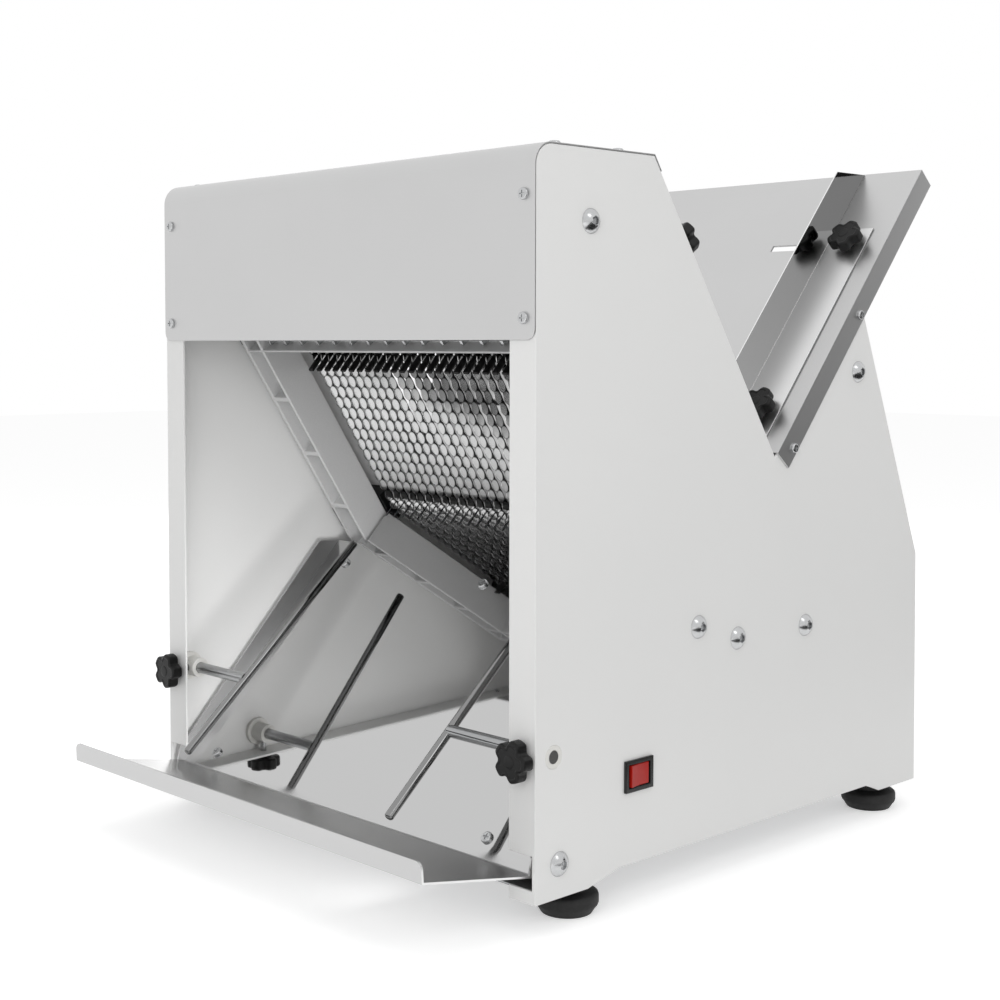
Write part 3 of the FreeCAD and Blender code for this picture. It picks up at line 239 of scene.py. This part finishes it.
def tray_stainless(tree, shader, place):
    """Buffed plate, slightly bowed, that is dulled where the loaves lie in the catch tray."""
    swept = add_node(tree, "ShaderNodeMapping", {"Vector": place, "Scale": (1.0 / 14.0, 1.0, 1.0)})["Vector"]
    wipe = add_node(tree, "ShaderNodeTexNoise", {"Vector": swept, "Scale": per_mm(5.0), "Detail": 3.0})["Fac"]
    clear = add_node(tree, "ShaderNodeMapRange", {"Value": wipe, "To Min": 0.02, "To Max": 0.04})["Result"]
    # the catch tray begins where the plate has come forward to 200 mm before the middle
    depth = add_node(tree, "ShaderNodeSeparateXYZ", {"Vector": place})["Y"]
    worn = add_node(tree, "ShaderNodeMapRange", {
        "Value": depth, "From Min": -196.0, "From Max": -204.0, "To Max": 0.22})["Result"]
    dull = add_node(tree, "ShaderNodeMath", {0: worn, 1: clear}, operation="ADD")
    bow = add_node(tree, "ShaderNodeTexNoise", {"Vector": place, "Scale": per_mm(260.0), "Detail": 0.0})["Fac"]
    raised = add_node(tree, "ShaderNodeBump", {"Height": bow, "Distance": 1.0 * MM})
    connect(tree, shader, {
        "Base Color": colours().polished, "Metallic": 1.0, "Roughness": dull["Value"], "Normal": raised["Normal"]})


def cast_aluminium(tree, shader, place):
    """Sand-cast aluminium, shot-blasted: even grey with a fine pebbled skin."""
    pebble = add_node(tree, "ShaderNodeTexNoise", {"Vector": place, "Scale": per_mm(0.9), "Detail": 4.0})["Fac"]
    mottled(tree, shader, pebble, colours().casting, 0.88, (0.40, 0.58), 0.05)
    connect(tree, shader, {"Metallic": 0.3})


def scalloped_strip(tree, shader, place):
    """Band-blade steel with painted light: a dark polished back that is painted shade, and a painted glint on the
    ground facet of every scallop.
    """
    # turned upright and moved so that a scallop of each blade has its middle at zero
    along = add_node(tree, "ShaderNodeMapping", {
        "Vector": place, "Rotation": (-BLADE_SLOPE, 0.0, 0.0), "Location": (0.0, -168.9, -418.8)})["Vector"]
    half = SCALLOP_PITCH / 2
    repeated = add_node(tree, "ShaderNodeVectorMath", {
        0: along, 1: (1000, 1000, half), 2: (-1000, -1000, -half)}, operation="WRAP")["Vector"]
    facet = add_node(tree, "ShaderNodeMapping", {
        "Vector": repeated, "Scale": (0.0, per_mm(4.3), per_mm(6.6))})["Vector"]
    middle = add_node(tree, "ShaderNodeTexGradient", {"Vector": facet}, gradient_type="SPHERICAL")["Fac"]
    # painted glint: the middle of each scallop's facet is painted bright, the rest of the blade painted dark
    ground = add_node(tree, "ShaderNodeMapRange", {"Value": middle, "From Max": 0.2})["Result"]
    tint = add_node(
        tree, "ShaderNodeMix", {"Factor": ground, "A": colours().blade_painted_shade, "B": colours().blade}, data_type="RGBA")
    drawn = add_node(tree, "ShaderNodeMapping", {"Vector": place, "Scale": (1.0, 1.0 / 20.0, 1.0)})["Vector"]
    line = add_node(tree, "ShaderNodeTexNoise", {"Vector": drawn, "Scale": per_mm(0.4)})["Fac"]
    dull = add_node(tree, "ShaderNodeMapRange", {"Value": line, "To Min": 0.12, "To Max": 0.24})
    connect(tree, shader, {"Base Color": tint["Result"], "Metallic": 1.0, "Roughness": dull["Result"]})


def turned_steel(tree, shader, place):
    """Turned bar steel: rings of fine tool marks."""
    drawn = add_node(tree, "ShaderNodeMapping", {"Vector": place, "Scale": (1.0, 1.0 / 8.0, 1.0)})["Vector"]
    ring = add_node(tree, "ShaderNodeTexNoise", {"Vector": drawn, "Scale": per_mm(0.5)})["Fac"]
    dull = add_node(tree, "ShaderNodeMapRange", {"Value": ring, "To Min": 0.24, "To Max": 0.38})
    raised = add_node(tree, "ShaderNodeBump", {"Height": ring, "Distance": 0.006 * MM})
    connect(tree, shader, {
        "Base Color": colours().steel, "Metallic": 1.0, "Roughness": dull["Result"], "Normal": raised["Normal"]})


def bright_zinc(tree, shader, place):
    """Zinc-plated steel: bright silver with a slight cloudiness."""
    cloud = add_node(tree, "ShaderNodeTexNoise", {"Vector": place, "Scale": per_mm(3.0)})["Fac"]
    mottled(tree, shader, cloud, colours().zinc, 0.88, (0.16, 0.28))
    connect(tree, shader, {"Metallic": 1.0})


def galvanised(tree, shader, place):
    """Zinc-coated sheet: dull grey with soft spangles."""
    spangle = add_node(tree, "ShaderNodeTexVoronoi", {"Vector": place, "Scale": per_mm(9.0)})["Distance"]
    mottled(tree, shader, spangle, colours().steel, 0.85, (0.38, 0.52))
    connect(tree, shader, {"Metallic": 1.0})


def black_plastic(tree, shader, place):
    """Glass-filled nylon, moulded: deep black with a faint leathery skin."""
    skin = add_node(tree, "ShaderNodeTexNoise", {"Vector": place, "Scale": per_mm(0.8)})["Fac"]
    mottled(tree, shader, skin, colours().black, 0.7, (0.34, 0.46), 0.02)
    connect(tree, shader, {"Specular IOR Level": 0.3})


def gloss_black(tree, shader, place):
    """Polished black moulding of the switch housing."""
    smear = add_node(tree, "ShaderNodeTexNoise", {"Vector": place, "Scale": per_mm(6.0)})["Fac"]
    dull = add_node(tree, "ShaderNodeMapRange", {"Value": smear, "To Min": 0.18, "To Max": 0.28})
    connect(tree, shader, {"Base Color": colours().black, "Roughness": dull["Result"]})


def black_rubber(tree, shader, place):
    """Moulded rubber: matt, slightly dusty black."""
    dust = add_node(tree, "ShaderNodeTexNoise", {"Vector": place, "Scale": per_mm(2.5), "Detail": 4.0})["Fac"]
    mottled(tree, shader, dust, colours().rubber, 0.6, (0.55, 0.72), 0.03)


def white_nylon(tree, shader, place):
    """Turned white nylon: soft and slightly translucent looking."""
    drawn = add_node(tree, "ShaderNodeMapping", {"Vector": place, "Scale": (1.0, 1.0 / 6.0, 1.0)})["Vector"]
    ring = add_node(tree, "ShaderNodeTexNoise", {"Vector": drawn, "Scale": per_mm(0.7)})["Fac"]
    mottled(tree, shader, ring, colours().nylon, 0.93, (0.40, 0.52))


def red_rocker(tree, shader, place):
    """Tinted clear polycarbonate: glossy red that darkens a little in its depth."""
    cloud = add_node(tree, "ShaderNodeTexNoise", {"Vector": place, "Scale": per_mm(7.0)})["Fac"]
    mottled(tree, shader, cloud, colours().red, 0.72, (0.16, 0.24))
    connect(tree, shader, {"Specular IOR Level": 0.25})


def motor_enamel(tree, shader, place):
    """Sprayed enamel over castings: half gloss with a little texture."""
    peel = add_node(tree, "ShaderNodeTexNoise", {"Vector": place, "Scale": per_mm(1.2)})["Fac"]
    mottled(tree, shader, peel, colours().enamel, 0.85, (0.36, 0.50), 0.04)


def cast_iron(tree, shader, place):
    """Grey iron, machined: dark and even with an open grain."""
    grain = add_node(tree, "ShaderNodeTexNoise", {"Vector": place, "Scale": per_mm(0.7), "Detail": 4.0})["Fac"]
    mottled(tree, shader, grain, colours().iron, 0.8, (0.42, 0.58), 0.03)
    connect(tree, shader, {"Metallic": 0.85})


def seen_directly(tree):
    """1 for rays that show a surface or the sky as such, 0 for rays that gather light."""
    rays = add_node(tree, "ShaderNodeLightPath")
    seen = rays["Is Camera Ray"]
    for kind in ("Is Glossy Ray", "Is Transmission Ray"):
        seen = add_node(tree, "ShaderNodeMath", {0: seen, 1: rays[kind]}, operation="MAXIMUM")["Value"]
    return seen


def white_floor(tree, shader, place):
    """Matt white paper that shows as white and keeps a soft shadow."""
    glow = add_node(tree, "ShaderNodeMapRange", {"Value": seen_directly(tree), "To Max": 0.42})
    connect(tree, shader, {
        "Base Color": linear("#F2F2F2"), "Roughness": 0.9, "Specular IOR Level": 0.0,
        "Emission Color": linear("#FFFFFF"), "Emission Strength": glow["Result"]})


def black_card(tree, shader, place):
    """Matt black card that stands out of the picture and shows in polished metal."""
    connect(tree, shader, {"Base Color": linear("#1C1C1C"), "Roughness": 0.9})


FINISHES = {
    "white_powder_coat": powder_coat,
    "ground_stainless_across": ground_across,
    "ground_stainless_painted_light": ground_painted_light,
    "buffed_stainless_painted_shade": mirror_stainless,
    "buffed_tray_stainless": tray_stainless,
    "blasted_cast_aluminium": cast_aluminium,
    "scalloped_steel_painted_glints": scalloped_strip,
    "turned_steel": turned_steel,
    "bright_zinc_plate": bright_zinc,
    "galvanised_sheet": galvanised,
    "moulded_black_nylon": black_plastic,
    "gloss_black_moulding": gloss_black,
    "moulded_rubber": black_rubber,
    "turned_white_nylon": white_nylon,
    "tinted_red_polycarbonate": red_rocker,
    "sprayed_motor_enamel": motor_enamel,
    "machined_grey_iron": cast_iron,
    "matt_white_floor": white_floor,
    "matt_black_card": black_card,
}


def finish(name):
    """The named material, made when it is first asked for, with its patterns in millimetres of the object."""
    material = bpy.data.materials.get(name)
    if material is None:
        material = bpy.data.materials.new(name)
        material.use_nodes = True
        tree = material.node_tree
        place = add_node(tree, "ShaderNodeTexCoord")["Object"]
        scaled = add_node(tree, "ShaderNodeMapping", {"Vector": place, "Scale": (1000, 1000, 1000)})["Vector"]
        FINISHES[name](tree, tree.nodes["Principled BSDF"], scaled)
    return material


# Meshes
def object_from(bm, name, material):
    """Makes a smooth-shaded object of a finished bmesh."""
    bmesh.ops.recalc_face_normals(bm, faces=bm.faces)
    for face in bm.faces:
        face.smooth = True
    mesh = bpy.data.meshes.new(name)
    bm.to_mesh(mesh)
    bm.free()
    mesh.materials.append(finish(material))
    piece = bpy.data.objects.new(name, mesh)
    bpy.context.scene.collection.objects.link(piece)
    return piece


# Pieces redrawn from the frame
def made_whole(node):
    """A copy of a piece's mesh with its corners joined and its flat faces made whole."""
    bm = bmesh.new()
    bm.from_mesh(frame["nodes"][node].data)
    bmesh.ops.remove_doubles(bm, verts=bm.verts, dist=0.01 * MM)
    bmesh.ops.dissolve_limit(bm, angle_limit=FLAT_ANGLE, verts=bm.verts, edges=bm.edges)
    return bm


def stand_for(piece, node):
    """A piece takes a node's place, on its body."""
    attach(piece, frame["nodes"][node]["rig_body"])
    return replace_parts(piece, node)


def dress(node, material, edge, segments=2):
    """Redraws a piece with rounded edges and its material."""
    piece = object_from(made_whole(node), node + "_finished", material)
    soften(piece, edge, segments)
    return stand_for(piece, node)


def faces_sideways(face):
    return abs(face.normal.x) > 0.9


def refinish(piece, material, wanted):
    """Gives some faces of a piece a second material."""
    piece.data.materials.append(finish(material))
    for face in piece.data.polygons:
        if wanted(face):
            face.material_index = 1


def keep_flat(piece, keep_sharp):
    """Shades flat faces flat, and only the bends and rounded edges between them smooth."""
    weighted = piece.modifiers.new("flat faces", "WEIGHTED_NORMAL")
    weighted.weight = 100
    weighted.keep_sharp = keep_sharp


def cut_clean(node, material):
    """Redraws a polished sheet with its cut edges left sharp, so that its faces mirror evenly."""
    piece = object_from(made_whole(node), node + "_finished", material)
    piece.data.set_sharp_from_angle(angle=SHARP_ANGLE)
    keep_flat(piece, True)
    return stand_for(piece, node)


def soften(piece, edge, segments=2, limit=SHARP_ANGLE):
    """Rounds the sharp edges and keeps the flat faces flat."""
    bevel = piece.modifiers.new("rounded edges", "BEVEL")
    bevel.width = edge
    bevel.segments = segments
    bevel.limit_method = "ANGLE"
    bevel.angle_limit = limit
    bevel.use_clamp_overlap = False
    keep_flat(piece, False)
    return piece


class SLICER_OT_casing(bpy.types.Operator):
    """Walls, cover, rear panel and base plate"""
    bl_idname = "slicer.casing"
    bl_label = "Casing"

    def execute(self, context):
        edge = sizes().sheet_edge
        for node in ("side_panel_left", "side_panel_right", "rear_panel"):
            dress(node, "white_powder_coat", edge)
        dress("front_cover", "ground_stainless_across", edge)
        dress("slope_guard", "ground_stainless_across", edge)
        dress("base_plate", "galvanised_sheet", edge)
        dress("casing_screws", "bright_zinc_plate", edge / 2)
        for node in ("panel_bolts_left", "panel_bolts_right"):
            dress(node, "bright_zinc_plate", edge)
        for node in ("upper_bars", "tray_bars", "drive_bars"):
            dress(node, "turned_steel", sizes().turned_edge)
        return {"FINISHED"}


class SLICER_OT_trays(bpy.types.Operator):
    """Infeed tray with its guides, delivery plate and crumb drawer"""
    bl_idname = "slicer.trays"
    bl_label = "Trays"

    def execute(self, context):
        edge = sizes().sheet_edge
        dress("infeed_tray", "ground_stainless_across", edge)
        for side in ("left", "right"):
            # the guides' flanges take the bright stainless that is painted light
            guide = dress("infeed_guide_" + side, "ground_stainless_painted_light", edge)
            # the guides' sideways walls take the dark mirror stainless that is painted shade
            refinish(guide, "buffed_stainless_painted_shade", faces_sideways)
        plate = cut_clean("delivery_plate", "buffed_tray_stainless")
        # the plate's sideways faces take the bright stainless that is painted light
        refinish(plate, "ground_stainless_painted_light", faces_sideways)
        dress("crumb_drawer", "ground_stainless_across", edge)
        for node in ("tray_screws", "chute_screws"):
            dress(node, "bright_zinc_plate", edge / 2)
        return {"FINISHED"}


class SLICER_OT_guide_rods(bpy.types.Operator):
    """Delivery guide rods on their side shafts"""
    bl_idname = "slicer.guide_rods"
    bl_label = "Guide rods"

    def execute(self, context):
        edge = sizes().turned_edge
        for side in ("left", "right"):
            shaft = dress("side_shaft_" + side, "turned_steel", edge)
            refinish(shaft, "machined_grey_iron", faces_sideways)
            # the guide rods take the dark mirror stainless that is painted shade
            dress("guide_rod_" + side, "buffed_stainless_painted_shade", edge)
        dress("shaft_bushings", "turned_white_nylon", edge)
        return {"FINISHED"}


class SLICER_OT_cutting(bpy.types.Operator):
    """Blade frames, blades, hooks, comb and guide blocks"""
    bl_idname = "slicer.cutting"
    bl_label = "Blade frames"

    def execute(self, context):
        for place in ("front", "rear"):
            dress("blade_frame_" + place, "blasted_cast_aluminium", sizes().casting_edge, 3)
            dress("blades_" + place, "scalloped_steel_painted_glints", sizes().fine_edge / 3, 1)
            dress("blade_hooks_" + place, "bright_zinc_plate", sizes().fine_edge)
            dress("wrist_pin_" + place, "turned_steel", sizes().turned_edge)
        dress("upper_comb", "moulded_black_nylon", sizes().switch_edge)
        for side in ("left", "right"):
            dress("frame_guides_" + side, "moulded_black_nylon", sizes().turned_edge)
        return {"FINISHED"}


class SLICER_OT_drive(bpy.types.Operator):
    """Crank, connecting rods, belt and motor"""
    bl_idname = "slicer.drive"
    bl_label = "Drive"

    def execute(self, context):
        edge = sizes().turned_edge
        for place in ("front", "rear"):
            dress("con_rod_" + place, "machined_grey_iron", edge)
        for node in ("crank_pulley", "motor_pulley"):
            dress(node, "machined_grey_iron", edge)
        for node in ("crankshaft", "crank_bearings", "motor_shaft"):
            dress(node, "turned_steel", edge)
        for node in ("bearing_plates", "motor_bridge"):
            dress(node, "galvanised_sheet", edge)
        dress("drive_belt", "moulded_rubber", edge)
        dress("motor", "sprayed_motor_enamel", 2 * edge)
        return {"FINISHED"}


class SLICER_OT_switch(bpy.types.Operator):
    """Rocker switch and mains inlet"""
    bl_idname = "slicer.switch"
    bl_label = "Switch"

    def execute(self, context):
        edge = sizes().switch_edge
        dress("switch_bezel", "gloss_black_moulding", edge, 3)
        dress("switch_rocker", "tinted_red_polycarbonate", edge, 3)
        dress("power_inlet", "gloss_black_moulding", edge)
        return {"FINISHED"}


def joint_named(name):
    return next(joint for joint in frame["joints"] if joint["name"] == name)


def reach_along(node, start, way):
    """Lowest and highest reach of a node from a point along a direction."""
    reach = [(vert.co - start).dot(way) for vert in frame["nodes"][node].data.vertices]
    return min(reach), max(reach)


def standing_on(place, direction):
    """Matrix that puts a piece made along +Z at a place, along a direction."""
    turn = Vector(direction).to_track_quat("Z", "Y").to_matrix().to_4x4()
    return Matrix.Translation(Vector(place)) @ turn


def spun(bm, profile, steps):
    """Turns a profile of (radius, height) about Z."""
    verts = [bm.verts.new((radius, 0.0, height)) for radius, height in profile]
    edges = [bm.edges.new(pair) for pair in zip(verts[:-1], verts[1:])]
    bmesh.ops.spin(
        bm, geom=verts + edges, cent=(0, 0, 0), axis=(0, 0, 1), angle=2 * math.pi, steps=steps, use_merge=True)
    bmesh.ops.remove_doubles(bm, verts=bm.verts, dist=0.005 * MM)


def star_radius(angle, size):
    """Outline of a star grip: a round disc with a round dent between each two lobes."""
    step = 2 * math.pi / size.knob_lobes
    off = abs((angle + step / 2) % step - step / 2)
    across = size.knob_dent_place * math.cos(step / 2 - off)
    inside = size.knob_dent ** 2 - (size.knob_dent_place * math.sin(step / 2 - off)) ** 2
    dented = across - math.sqrt(inside) if inside > 0 else size.knob_radius
    return min(size.knob_radius, dented)


def set_star_ring(ring, size, inset, height):
    """Puts a ring of vertices on a star grip's outline, drawn in by an inset."""
    for vert in ring:
        angle = math.atan2(vert.co.y, vert.co.x)
        nearby = [star_radius(angle + math.radians(turn), size) for turn in (-6, -3, 0, 3, 6)]
        radius = sum(nearby) / len(nearby) - inset
        vert.co = (radius * math.cos(angle), radius * math.sin(angle), height)


def star_grip(bm, size):
    """Grip of a star knob: lobed disc with rolled edges and a shallow sunk face."""
    roll = size.knob_roll
    top = size.knob_thick
    turns = [math.radians(15 * step) for step in range(7)]
    rings = [(roll * (1 - math.sin(turn)), roll * (1 - math.cos(turn))) for turn in turns]
    rings += [(inset, top - height) for inset, height in reversed(rings)]
    rings += [(roll + 1.0 * MM, top), (roll + 1.5 * MM, top - 0.5 * MM)]
    ring = bmesh.ops.create_circle(bm, radius=1.0, segments=size.knob_lobes * 24)["verts"]
    loop = list(bm.edges)
    bmesh.ops.edgeloop_fill(bm, edges=loop)
    set_star_ring(ring, size, *rings[0])
    for inset, height in rings[1:]:
        risen = bmesh.ops.extrude_edge_only(bm, edges=loop)["geom"]
        ring = [item for item in risen if isinstance(item, bmesh.types.BMVert)]
        loop = [item for item in risen if isinstance(item, bmesh.types.BMEdge)]
        set_star_ring(ring, size, inset, height)
    bmesh.ops.edgeloop_fill(bm, edges=loop)


def knob_pieces(node, joint_name):
    """Star knob of moulded plastic on a threaded stud, along its joint's axis."""
    size = sizes()
    joint = joint_named(joint_name)
    start = Vector(joint["pos_m"])
    way = Vector(joint["axis"]).normalized()
    low, high = reach_along(node, start, way)
    seat = high - size.knob_thick - size.knob_neck
    grip = bmesh.new()
    star_grip(grip, size)
    bmesh.ops.translate(grip, verts=grip.verts, vec=(0, 0, size.knob_neck))
    edge = size.knob_hub_edge
    hub = size.knob_neck_radius
    inside = size.knob_neck + 1.0 * MM
    spun(grip, [(0, 0), (hub - edge, 0), (hub, edge), (hub, 0.6 * size.knob_neck),
                (hub + 1.6 * MM, size.knob_neck), (hub, inside), (0, inside)], 48)
    cap = size.knob_cap
    top = size.knob_neck + size.knob_thick
    spun(grip, [(0, top - 1.2 * MM), (cap, top - 1.2 * MM), (cap, top - edge),
                (cap - 0.6 * MM, top - 0.1 * MM), (cap - 2.2 * MM, top), (0, top)], 48)
    bmesh.ops.transform(grip, matrix=standing_on(start + way * seat, way), verts=grip.verts)
    soften(stand_for(object_from(grip, node + "_grip", "moulded_black_nylon"), node), edge / 2)
    stud = bmesh.new()
    spun(stud, thread(low - seat, edge, size), 20)
    bmesh.ops.transform(stud, matrix=standing_on(start + way * seat, way), verts=stud.verts)
    stand_for(object_from(stud, node + "_stud", "bright_zinc_plate"), node)


def thread(low, high, size):
    """Profile of a screw thread with a chamfered tip."""
    radius = size.stud_radius
    pitch = size.thread_pitch
    tip = 0.8 * pitch
    profile = [(0, low), (radius - tip, low), (radius, low + tip)]
    height = low + tip
    while height + pitch < high:
        profile += [(radius - 0.4 * pitch, height + pitch / 2), (radius, height + pitch)]
        height += pitch
    return profile + [(radius, high), (0, high)]


class SLICER_OT_knobs(bpy.types.Operator):
    """Star knobs of the guides, the slope guard and the delivery rods"""
    bl_idname = "slicer.knobs"
    bl_label = "Star knobs"

    def execute(self, context):
        for side in ("left", "right"):
            for place in ("lower", "upper"):
                name = "guide_knob_" + side + "_" + place
                knob_pieces(name, name + "_turn")
            knob_pieces("slope_knob_" + side, "slope_knob_" + side + "_turn")
            knob_pieces("rod_knob_" + side, "rod_knob_" + side + "_turn")
        return {"FINISHED"}


class SLICER_OT_feet(bpy.types.Operator):
    """Rubber feet with a waist, a wide brim and a ribbed sole"""
    bl_idname = "slicer.feet"
    bl_label = "Feet"

    def execute(self, context):
        size = sizes()
        low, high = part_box("feet")
        wide = size.foot_radius
        neck = size.foot_neck
        tall = high.z
        # radius and height, from the top over the waist and the wide brim down to the sole
        profile = [
            (0, tall), (neck, tall), (neck, tall - 11 * MM), (neck + 0.8 * MM, tall - 13.5 * MM),
            (wide - 2.2 * MM, tall - 15.5 * MM), (wide - 0.6 * MM, tall - 16.8 * MM), (wide, tall - 18.6 * MM),
            (wide, tall - 23.6 * MM), (wide - 0.7 * MM, tall - 25.6 * MM), (wide - 2.4 * MM, tall - 27.6 * MM),
            (size.foot_sole, 1.0 * MM), (size.foot_sole - 0.6 * MM, 0.2 * MM), (size.foot_sole - 1.4 * MM, 0),
            (size.foot_sole - 4 * MM, 0), (size.foot_sole - 4.5 * MM, 0.8 * MM), (0, 0.8 * MM),
        ]
        for x in (low.x + wide, high.x - wide):
            for y in (low.y + wide, high.y - wide):
                foot = bmesh.new()
                spun(foot, profile, 64)
                bmesh.ops.translate(foot, verts=foot.verts, vec=(x, y, 0))
                soften(stand_for(object_from(foot, "rubber_foot", "moulded_rubber"), "feet"), size.sheet_edge, 2,
                       math.radians(40.0))
        return {"FINISHED"}


class SLICER_OT_stage(bpy.types.Operator):
    """Floor, lights and the photograph's camera"""
    bl_idname = "slicer.stage"
    bl_label = "Studio"

    def execute(self, context):
        scene = context.scene
        scene.view_settings.view_transform = "Standard"
        self.add_floor()
        self.add_cards()
        self.set_world(scene)
        self.add_lamps(scene)
        self.add_camera(scene)
        return {"FINISHED"}

    def add_sheet(self, name, material, place, facing, half):
        """A square sheet of the studio, with its middle at a place."""
        bm = bmesh.new()
        bmesh.ops.create_grid(bm, x_segments=1, y_segments=1, size=half)
        bmesh.ops.transform(bm, matrix=standing_on(place, facing), verts=bm.verts)
        sheet = object_from(bm, name, material)
        return sheet

    def add_floor(self):
        self.add_sheet("studio_floor", "matt_white_floor", (0, 0, 0), (0, 0, 1), 8.0)

    def add_cards(self):
        """Black cards beside the picture, which only polished surfaces see."""
        cards = (
            ("horizon_card", (2.2, 2.2, 0.5), (-1, -1, 0), 0.8),
            ("floor_card", (1.9, 0.9, 0.004), (0, 0, 1), 1.4),
        )
        for name, place, facing, half in cards:
            card = self.add_sheet(name, "matt_black_card", place, facing, half)
            card.visible_camera = False
            card.visible_diffuse = False
            card.visible_shadow = False

    def set_world(self, scene):
        """White air: fully white where it is seen, weaker where it lights the slicer."""
        world = bpy.data.worlds.new("studio_air")
        world.use_nodes = True
        tree = world.node_tree
        strength = add_node(tree, "ShaderNodeMapRange", {"Value": seen_directly(tree), "To Min": 0.62})
        connect(tree, tree.nodes["Background"], {"Color": linear("#FFFFFF"), "Strength": strength["Result"]})
        scene.world = world

    def add_lamps(self, scene):
        """Square softboxes: name, place, target, size, power, and whether metal mirrors them."""
        lamps = (
            ("key_softbox", (1.2, -1.7, 0.9), (0.0, 0.0, 0.3), 1.2, 10.0, False),
            ("mouth_softbox", (0.1, -0.175, 0.12), (-0.24, -0.12, 0.06), 0.16, 0.8, False),
            ("side_softbox", (2.4, 0.6, 1.2), (0.0, 0.0, 0.3), 1.6, 1.5, False),
            ("top_softbox", (0.0, -0.4, 2.6), (0.0, 0.0, 0.3), 1.8, 8.0, False),
            ("back_softbox", (-1.9, 1.9, 0.75), (0.0, 0.0, 0.3), 1.5, 10.0, True),
            ("blade_softbox", (2.3, -0.4, 2.3), (0.0, 0.0, 0.3), 0.9, 5.0, True),
        )
        for name, place, target, size, power, mirrored in lamps:
            data = bpy.data.lights.new(name, "AREA")
            data.shape = "SQUARE"
            data.size = size
            data.energy = power
            lamp = bpy.data.objects.new(name, data)
            aim = Vector(target) - Vector(place)
            lamp.matrix_world = Matrix.Translation(Vector(place)) @ aim.to_track_quat("-Z", "Y").to_matrix().to_4x4()
            lamp.visible_camera = False
            lamp.visible_glossy = mirrored
            scene.collection.objects.link(lamp)

    def add_camera(self, scene):
        data = bpy.data.cameras.new("photo_camera")
        data.sensor_width = 36.0
        data.lens = 58.67
        data.shift_x = 0.0424
        data.shift_y = -0.0757
        data.clip_start = 0.05
        data.clip_end = 30.0
        camera = bpy.data.objects.new("photo_camera", data)
        camera.location = (1.0591, -1.0585, 0.4369)
        camera.rotation_euler = (math.radians(90 - 2.84), 0.0, math.radians(46.81))
        scene.collection.objects.link(camera)
        scene.camera = camera


class SLICER_PT_panel(bpy.types.Panel):
    bl_idname = "SLICER_PT_panel"
    bl_label = "Bread slicer"
    bl_space_type = "VIEW_3D"
    bl_region_type = "UI"
    bl_category = "Slicer"

    def draw(self, context):
        for operator in OPERATORS:
            self.layout.operator(operator.bl_idname)


OPERATORS = (
    SLICER_OT_casing,
    SLICER_OT_trays,
    SLICER_OT_guide_rods,
    SLICER_OT_cutting,
    SLICER_OT_drive,
    SLICER_OT_switch,
    SLICER_OT_knobs,
    SLICER_OT_feet,
    SLICER_OT_stage,
)
CLASSES = (SlicerColours, SlicerSizes) + OPERATORS + (SLICER_PT_panel,)


def register():
    for cls in CLASSES:
        bpy.utils.register_class(cls)
    bpy.types.Scene.slicer_colours = PointerProperty(type=SlicerColours)
    bpy.types.Scene.slicer_sizes = PointerProperty(type=SlicerSizes)


def unregister():
    del bpy.types.Scene.slicer_colours
    del bpy.types.Scene.slicer_sizes
    for cls in reversed(CLASSES):
        bpy.utils.unregister_class(cls)


def main():
    register()
    for operator in OPERATORS:
        group, name = operator.bl_idname.split(".")
        getattr(getattr(bpy.ops, group), name)()


if __name__ == "__main__":
    main()
